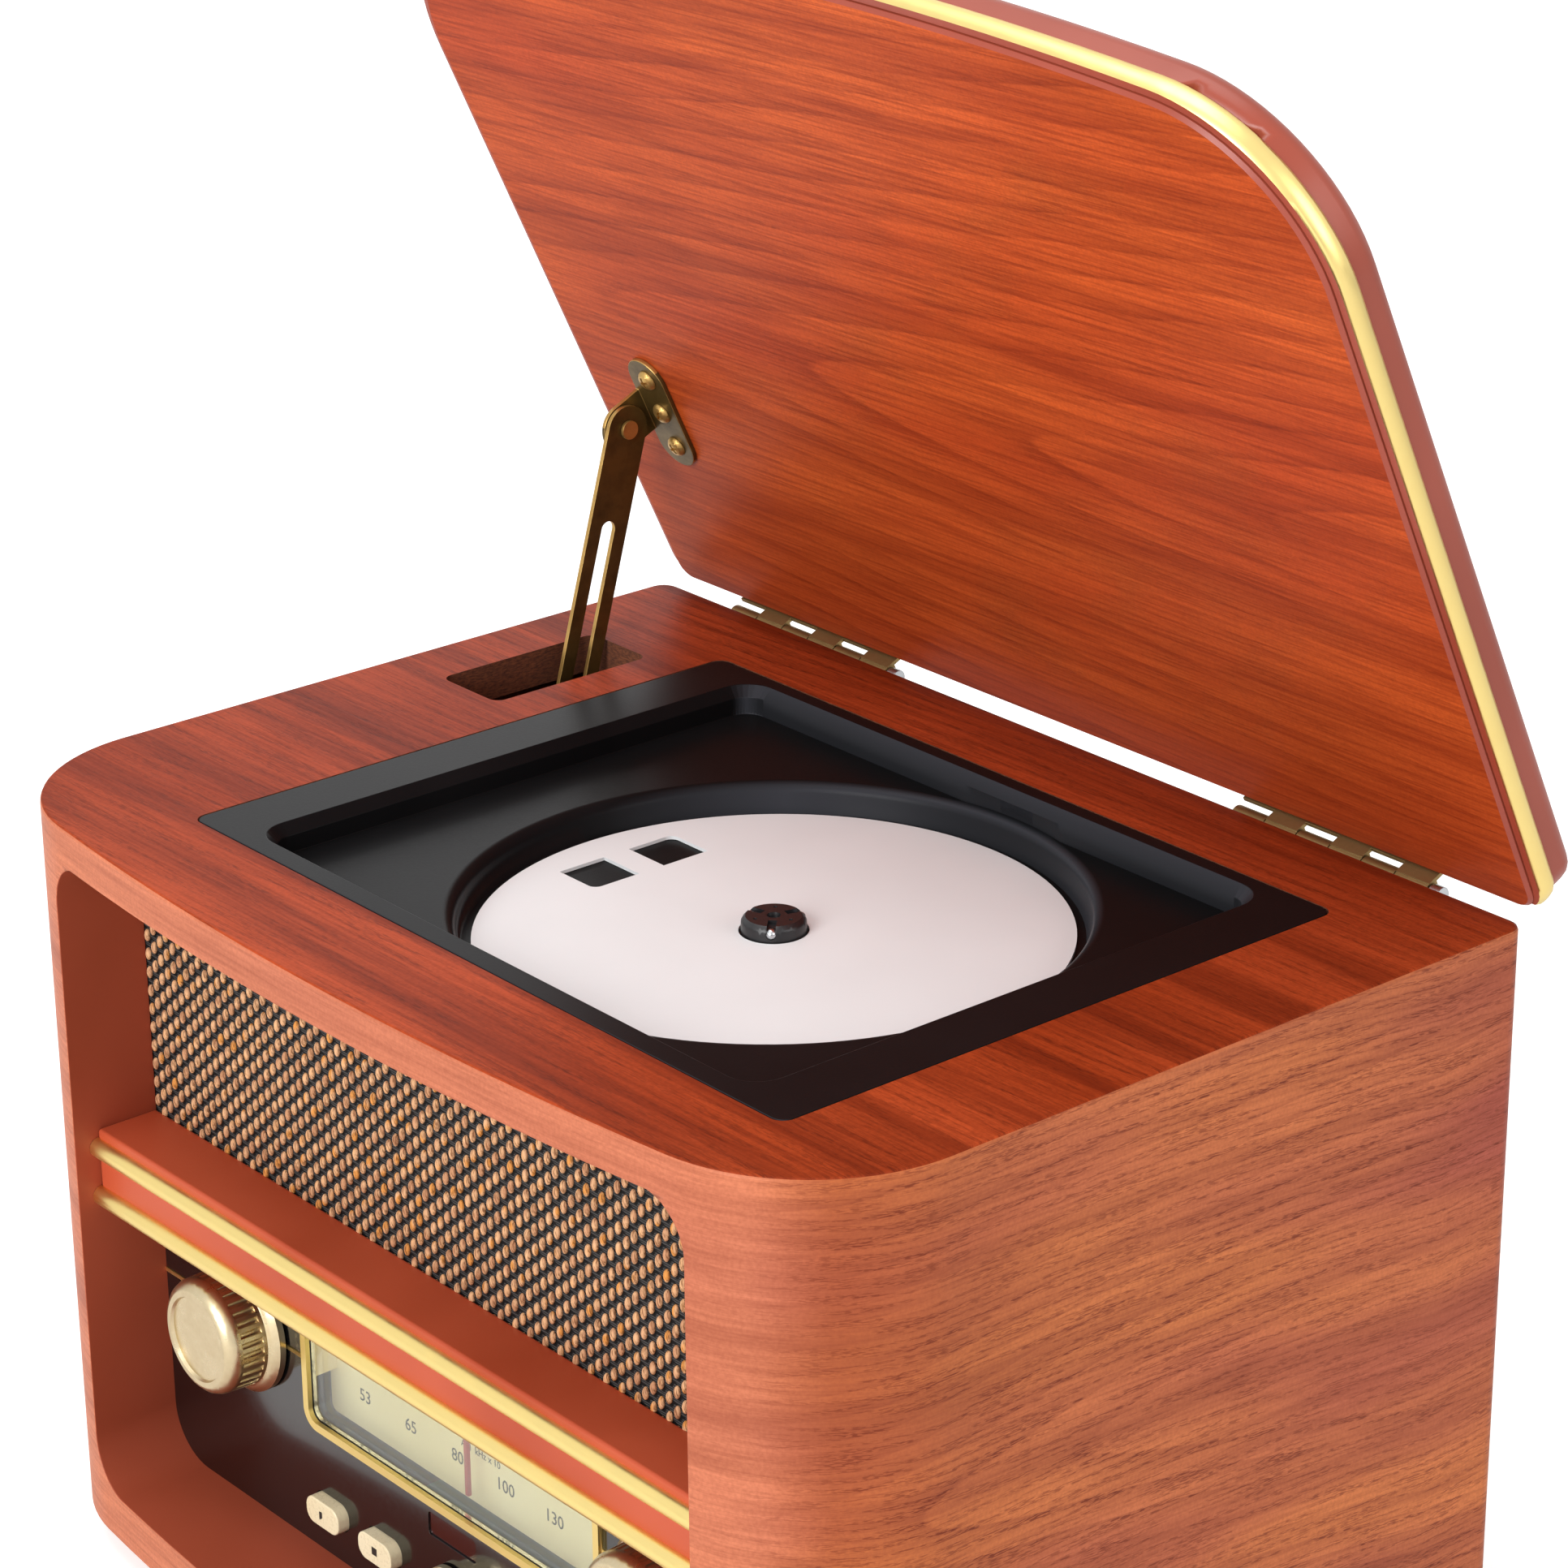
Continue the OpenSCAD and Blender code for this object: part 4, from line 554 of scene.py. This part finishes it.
# The openings show cut board, up to this far from the middle
OPENINGS_X, OPENINGS_Y = 132 * MM, 90 * MM
paint_where(top, 2, lambda c, n: n.z < -0.5 or (abs(n.z) < 0.5 and abs(c.x) < OPENINGS_X
                                                and abs(c.y) < OPENINGS_Y))
soften(top, 0)
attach(top, "cabinet")
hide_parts("top_board")

# The rail takes the lighter lacquer, painted light
dress("front_rail", "cabinet", lit_rail_lacquer, 0.8 * MM, 3)
dress("rail_beads", "cabinet", gold, 0, smooth=50)

# The lid
panel = merged("lid_panel")
paint(panel, lid_veneer, edge_lacquer)
paint_where(panel, 1, lambda c, n: abs(lid_up(n)) < 0.9)
soften(panel, 0)
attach(panel, "lid")
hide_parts("lid_panel")
board = merged("lid_board")
paint(board, lid_top_veneer, edge_lacquer)
paint_where(board, 1, lambda c, n: lid_up(n) < 0.85)
soften(board, 0, smooth=40)
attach(board, "lid")
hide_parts("lid_board")
trim = dress("lid_trim", "lid", gold, 0, smooth=50)
trim.data.materials.append(edge_lacquer)
paint_where(trim, 1, lambda c, n: lid_up(n) < -0.75)

# The disc deck, its loose card and the hub
# The slivers where the well cuts the pocket's walls are merged. The well's lip is round already, so only the
# flange and the pocket, down to its floor, are eased
SLIVER = 0.12 * MM
EASED_DEPTH = 7.4 * MM
DECK_EASE = 0.45 * MM
deck = merged("deck_tray")
bpy.ops.object.mode_set(mode="EDIT")
bpy.ops.mesh.select_all(action="SELECT")
bpy.ops.mesh.remove_doubles(threshold=SLIVER)
bpy.ops.object.mode_set(mode="OBJECT")
paint(deck, deck_plastic)
lip_radius = (DECK_HIGH.y - DECK_LOW.y) / 2 - 3.9 * MM
mark_edges(deck, lambda a, b: all((p - HUB).xy.length > lip_radius and p.z > TOP_Z - EASED_DEPTH
                                  for p in (a, b)))
apply(deck, "BEVEL", width=DECK_EASE, segments=3, limit_method="WEIGHT", use_clamp_overlap=True)
soften(deck, 0, smooth=24)
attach(deck, "cabinet")
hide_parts("deck_tray")
dress("cover_card", "card", card_white, smooth=40)
dress("disc_hub", "spindle", black_plastic, 0.12 * MM, 2, smooth=40)
dress("hub_balls", "spindle", steel, 0, smooth=60)

# Stay and hinges; the narrow edges of the arm and the bracket are painted brighter brass, a painted
# highlight
arm = dress("stay_arm", "stay", old_brass, 0.25 * MM, 3)
arm.data.materials.append(rubbed_and_highlit_brass)
paint_where(arm, 1, lambda c, n: abs(n.x) < 0.8)
bracket = dress("stay_bracket", "lid", old_brass, 0.25 * MM, 3)
bracket.data.materials.append(rubbed_and_highlit_brass)
paint_where(bracket, 1, lambda c, n: abs(n.x) < 0.8 and abs(lid_up(n)) < 0.8)
shut_corners = [SHUT @ v.co for v in bracket.data.vertices]
bracket_low = Vector(map(min, zip(*shut_corners)))
bracket_high = Vector(map(max, zip(*shut_corners)))
screws = dress("stay_screws", "lid", rubbed_and_highlit_brass, 0.08 * MM, 2)
# The bracket's three screws have cross recesses. In mm: the step between them, and where the middle one is
# from the bracket's middle and from its top
SCREW_STEP = 10.45
SCREW_X, SCREW_Y, SCREW_DOWN = 0.9, -0.4, 2.75
for step in (-1, 0, 1):
    spot = Vector(((bracket_low.x + bracket_high.x) / 2 + SCREW_X * MM,
                   (bracket_low.y + bracket_high.y) / 2 + (step * SCREW_STEP + SCREW_Y) * MM,
                   bracket_high.z - SCREW_DOWN * MM))
    cut_cross(screws, OPEN @ Matrix.Translation(spot), (3, 0.7, 1.5), "Z", (25 + 40 * step, 115 + 40 * step))
# So has the rivet, at its outer end
end_x = max(v.co.x for v in screws.data.vertices)
rivet = [v.co for v in screws.data.vertices if v.co.x > end_x - 0.05 * MM]
spot = sum(rivet, Vector()) / len(rivet)
cut_cross(screws, Matrix.Translation(spot), (0.5, 2.2, 0.5), "X", (20, 110))
dress("stay_pin", "cabinet", old_brass, 0.15 * MM, 2)
dress("cabinet_leaves", "cabinet", hinge_brass, 0.15 * MM, 2)
dress("lid_leaves", "lid", hinge_brass, 0.15 * MM, 2)
dress("hinge_pins", "cabinet", steel, 0.3 * MM, 3)

# Front controls
dress("control_panel", "cabinet", panel_gloss, 0.2 * MM, 2)
dress("tuning_knob", "tuning", knob_gold, 0.15 * MM, 2, smooth=30)
dress("volume_knob", "volume", knob_gold, 0.15 * MM, 2, smooth=30)
dress("function_knob", "function", knob_gold, 0.1 * MM, 2, smooth=30)
for key, body in (("play", "play"), ("stop", "stop"), ("back", "skip_back"), ("next", "skip_next")):
    dress(key + "_button", body, ivory, 0.5 * MM, 3)
dress("track_display", "cabinet", display_red, 0.1 * MM)
dress("dial_glass", "cabinet", dial_glass, 0.2 * MM)
dress("dial_scale", "cabinet", dial_paper, 0)
dress("dial_pointer", "pointer", red_paint, 0.1 * MM)
dress("dial_drum", "drum", natural, 0.1 * MM)
dress("feet", "cabinet", rubber, 0.4 * MM)


# How thick the print on the buttons is, in mm
PRINT_RAISED = 0.08


def sign(name, button, body, *shapes):
    """Small printed signs on a button. Shapes are (corners, offset, width, height, turn), in mm, degrees."""
    low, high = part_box(button)
    made = []
    for corners, offset, width, height, turn in shapes:
        bpy.ops.mesh.primitive_cylinder_add(vertices=corners, radius=1, depth=PRINT_RAISED * MM)
        shape = bpy.context.object
        place = ((low.x + high.x) / 2 + offset * MM, low.y, (low.z + high.z) / 2)
        shape.matrix_world = (Matrix.Translation(place)
                              @ Matrix.Diagonal((width * MM, 1, height * MM, 1))
                              @ Matrix.Rotation(math.radians(turn), 4, "Y")
                              @ Matrix.Rotation(math.pi / 2, 4, "X"))
        made.append(shape)
    only(*made)
    if len(made) > 1:
        bpy.ops.object.join()
    piece = bpy.context.object
    paint(piece, print_black)
    settle(piece, body, name)


sign("play_sign", "play_button", "play", (3, 0, 1.3, 1.3, 90))
sign("stop_sign", "stop_button", "stop", (4, 0, 1.4, 1.4, 45))
sign("back_sign", "back_button", "skip_back", (3, 1.1, 1.2, 1.3, -90), (3, -0.7, 1.2, 1.3, -90),
     (4, -2.2, 0.35, 1.6, 45))
sign("next_sign", "next_button", "skip_next", (3, -1.1, 1.2, 1.3, 90), (3, 0.7, 1.2, 1.3, 90),
     (4, 2.2, 0.35, 1.6, 45))


def dial_print():
    """Two plain frequency scales, with a row of marks for each."""
    low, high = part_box("dial_glass")
    # The print lies just in front of the scale, and stops short of the glass's ends
    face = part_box("dial_scale")[1].y - 1.25 * MM
    middle_z = (low.z + high.z) / 2
    reach = (high.x - low.x) / 2 - 11 * MM
    made = []

    def words(body, x, z, size):
        bpy.ops.object.text_add(location=(x, face, middle_z + z * MM), rotation=(math.pi / 2, 0, 0))
        text = bpy.context.object
        text.data.body = body
        text.data.size = size * MM
        text.data.align_x = "CENTER"
        text.data.align_y = "CENTER"
        text.data.extrude = 0.03 * MM
        text.data.resolution_u = 3
        only(text)
        bpy.ops.object.convert(target="MESH")
        made.append(bpy.context.object)

    for z, numbers in ((9, ("88", "92", "96", "100", "104", "108")),
                       (-9, ("53", "65", "80", "100", "130", "160"))):
        for i, number in enumerate(numbers):
            words(number, -reach + 2 * reach * i / 5, z, 4.6)
    words("FM  MHz", 0, 4.2, 2.6)
    words("AM  kHz x 10", 0, -4.4, 2.6)
    for z, step, tall in ((1.6, 0.2, 1.6), (1.9, 1.0, 2.6), (-1.6, 0.25, 1.6), (-1.9, 1.0, 2.6)):
        bpy.ops.mesh.primitive_cube_add(size=1, location=(-reach, face, middle_z + z * MM))
        mark = bpy.context.object
        mark.scale = (0.25 * MM, 0.06 * MM, tall * MM)
        bpy.ops.object.transform_apply(location=False, rotation=False, scale=True)
        repeat(mark, round(5 / step) + 1, (2 * reach * step / 5, 0, 0))
        made.append(mark)
    only(*made)
    bpy.ops.object.join()
    piece = bpy.context.object
    paint(piece, print_black)
    settle(piece, "cabinet", "dial_print")


dial_print()

# Inner pieces and the back
finish_node(cut_board, "base_board", "hinge_rail", "back_cleats", "stay_block")
finish_node(dark_board, "back_panel", "baffle")
finish_node(steel, "dial_rail", "tuning_bush", "spindle_motor", "sled_rods", "sled_motor")
finish_node(grey_metal, "volume_control", "function_switch", "cd_chassis", "heat_sink", "transformer",
            "speaker_frames")
finish_node(natural, "tuning_capacitor", "sled_screw")
finish_node(circuit, "button_board", "main_board")
finish_node(cone_pulp, "speaker_cones")
finish_node(black_plastic, "jack_panel", "mains_inlet", "pickup_sled")
finish_node(rubber, "cd_dampers")
finish_node(lens_blue, "pickup_lens")


def grille():
    """Woven cloth: a dark ground with rows of tan stitches, every other column half a repeat lower."""
    thickness = 0.3 * MM
    width, height = CLOTH_HIGH.x - CLOTH_LOW.x, CLOTH_HIGH.z - CLOTH_LOW.z
    middle = (CLOTH_LOW + CLOTH_HIGH) / 2
    bpy.ops.object.select_all(action="DESELECT")
    bpy.ops.mesh.primitive_grid_add(x_subdivisions=60, y_subdivisions=20, size=1)
    ground = bpy.context.object
    ground.scale = (width, height, 1)
    ground.rotation_euler = (math.pi / 2, 0, 0)
    ground.location = (middle.x, CLOTH_LOW.y + thickness, middle.z)
    bpy.ops.object.transform_apply(location=True, rotation=True, scale=True)
    apply(ground, "SOLIDIFY", thickness=thickness, offset=-1)
    paint(ground, cloth_ground)
    ground.name = "grille_ground"

    column, row = STITCH_COLUMN * MM, STITCH_REPEAT * MM
    shown_low, shown_high = RAIL_HIGH.z - 2 * MM, TOP_Z - 9.5 * MM
    margin = 1.2 * MM
    halves = []
    for half in (0, 1):
        bpy.ops.object.select_all(action="DESELECT")
        bpy.ops.mesh.primitive_uv_sphere_add(segments=8, ring_count=7, radius=1)
        stitch = bpy.context.object
        stitch.scale = [size * MM for size in STITCH_SIZE]
        stitch.rotation_euler = (0, math.radians(STITCH_LEAN), 0)
        stitch.location = (margin - RAIL_HIGH.x + half * column, CLOTH_LOW.y + 0.05 * MM,
                           shown_low + half * row / 2)
        bpy.ops.object.transform_apply(location=True, rotation=True, scale=True)
        across = int((2 * (RAIL_HIGH.x - margin) - half * column) / (2 * column)) + 1
        up = int((shown_high - shown_low) / row) + 2
        repeat(stitch, across, (2 * column, 0, 0))
        repeat(stitch, up, (0, 0, row))
        halves.append(stitch)
    only(*halves)
    bpy.ops.object.join()
    stitches = bpy.context.object
    stitches.name = "grille_stitches"
    paint(stitches, cloth_yarn)
    soften(stitches, 0, smooth=80)
    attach(ground, "cabinet")
    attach(stitches, "cabinet")
    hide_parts("grille_cloth")


grille()


# The camera as fitted to the photograph: its place, its angles in degrees, and its focal length in pixels
EYE = (0.737968, -0.595504, 0.593024)
EYE_TURN, EYE_DIP, EYE_ROLL = 50.0388, 22.075, -0.5596
FOCAL_PIXELS, FRAME_PIXELS, SENSOR = 5673.18, 1932, 36


def camera():
    """Stands where the photograph was taken from."""
    bpy.ops.object.camera_add()
    eye = bpy.context.object
    eye.data.lens = SENSOR * FOCAL_PIXELS / FRAME_PIXELS
    eye.data.sensor_width = SENSOR
    eye.data.clip_end = 20
    turn = (Matrix.Rotation(math.radians(EYE_TURN), 4, "Z")
            @ Matrix.Rotation(math.radians(90 - EYE_DIP), 4, "X")
            @ Matrix.Rotation(math.radians(EYE_ROLL), 4, "Z"))
    eye.matrix_world = Matrix.Translation(EYE) @ turn
    bpy.context.scene.camera = eye


def softbox(name, place, aim, size, power):
    """A rectangular lamp, aimed at a point."""
    bpy.ops.object.light_add(type="AREA", location=place)
    lamp = bpy.context.object
    lamp.name = name
    lamp.data.shape = "RECTANGLE"
    lamp.data.size, lamp.data.size_y = size
    lamp.data.energy = power
    lamp.rotation_euler = (Vector(aim) - Vector(place)).to_track_quat("-Z", "Y").to_euler()


# How brightly the world lights the part, out of 1, and how much the camera sees the floor glow
WORLD_LIGHT = 0.45
FLOOR_GLOW = 0.42


def studio():
    """Pale floor, soft lamps, and a background that stays white to the camera and in reflections."""
    bpy.ops.object.select_all(action="DESELECT")
    bpy.ops.mesh.primitive_plane_add(size=14, location=(0, 0, -0.2 * MM))
    floor = bpy.context.object
    floor.name = "floor"
    pale = Finish("floor", "#f4f3f2", 0.9)
    seen = pale.node("LightPath").outputs["Is Camera Ray"]
    glow = pale.math("MULTIPLY", seen, FLOOR_GLOW)
    pale.set("Emission Color", (1, 1, 1, 1))
    pale.join(glow, pale.shader.inputs["Emission Strength"])
    paint(floor, pale.material)
    world = bpy.data.worlds.new("studio")
    bpy.context.scene.world = world
    world.use_nodes = True
    tree = world.node_tree
    back = tree.nodes["Background"]
    back.inputs["Color"].default_value = (1, 1, 1, 1)
    path = tree.nodes.new("ShaderNodeLightPath")
    white = path.outputs["Is Camera Ray"]
    for kind in ("Is Glossy Ray", "Is Transmission Ray"):
        either = tree.nodes.new("ShaderNodeMath")
        either.operation = "MAXIMUM"
        tree.links.new(white, either.inputs[0])
        tree.links.new(path.outputs[kind], either.inputs[1])
        white = either.outputs[0]
    # Dimmer to the rays that light the part than to all others
    bright = tree.nodes.new("ShaderNodeMath")
    bright.operation = "MULTIPLY_ADD"
    tree.links.new(white, bright.inputs[0])
    bright.inputs[1].default_value = 1 - WORLD_LIGHT
    bright.inputs[2].default_value = WORLD_LIGHT
    tree.links.new(bright.outputs[0], back.inputs["Strength"])
    softbox("front softbox", (0.45, -2.05, 1.1), (0, 0, 0.12), (1.2, 1.2), 44)
    softbox("right softbox", (2.0, 0.6, 1.0), (0, 0, 0.12), (1.2, 1.2), 12)
    softbox("top softbox", (-0.3, -0.1, 2.2), (0, 0, 0.1), (1.6, 1.6), 22)
    softbox("left softbox", (-1.85, 1.33, 0.78), (0, 0, 0.15), (0.7, 0.75), 2)


camera()
studio()
bpy.context.scene.view_settings.view_transform = "Standard"
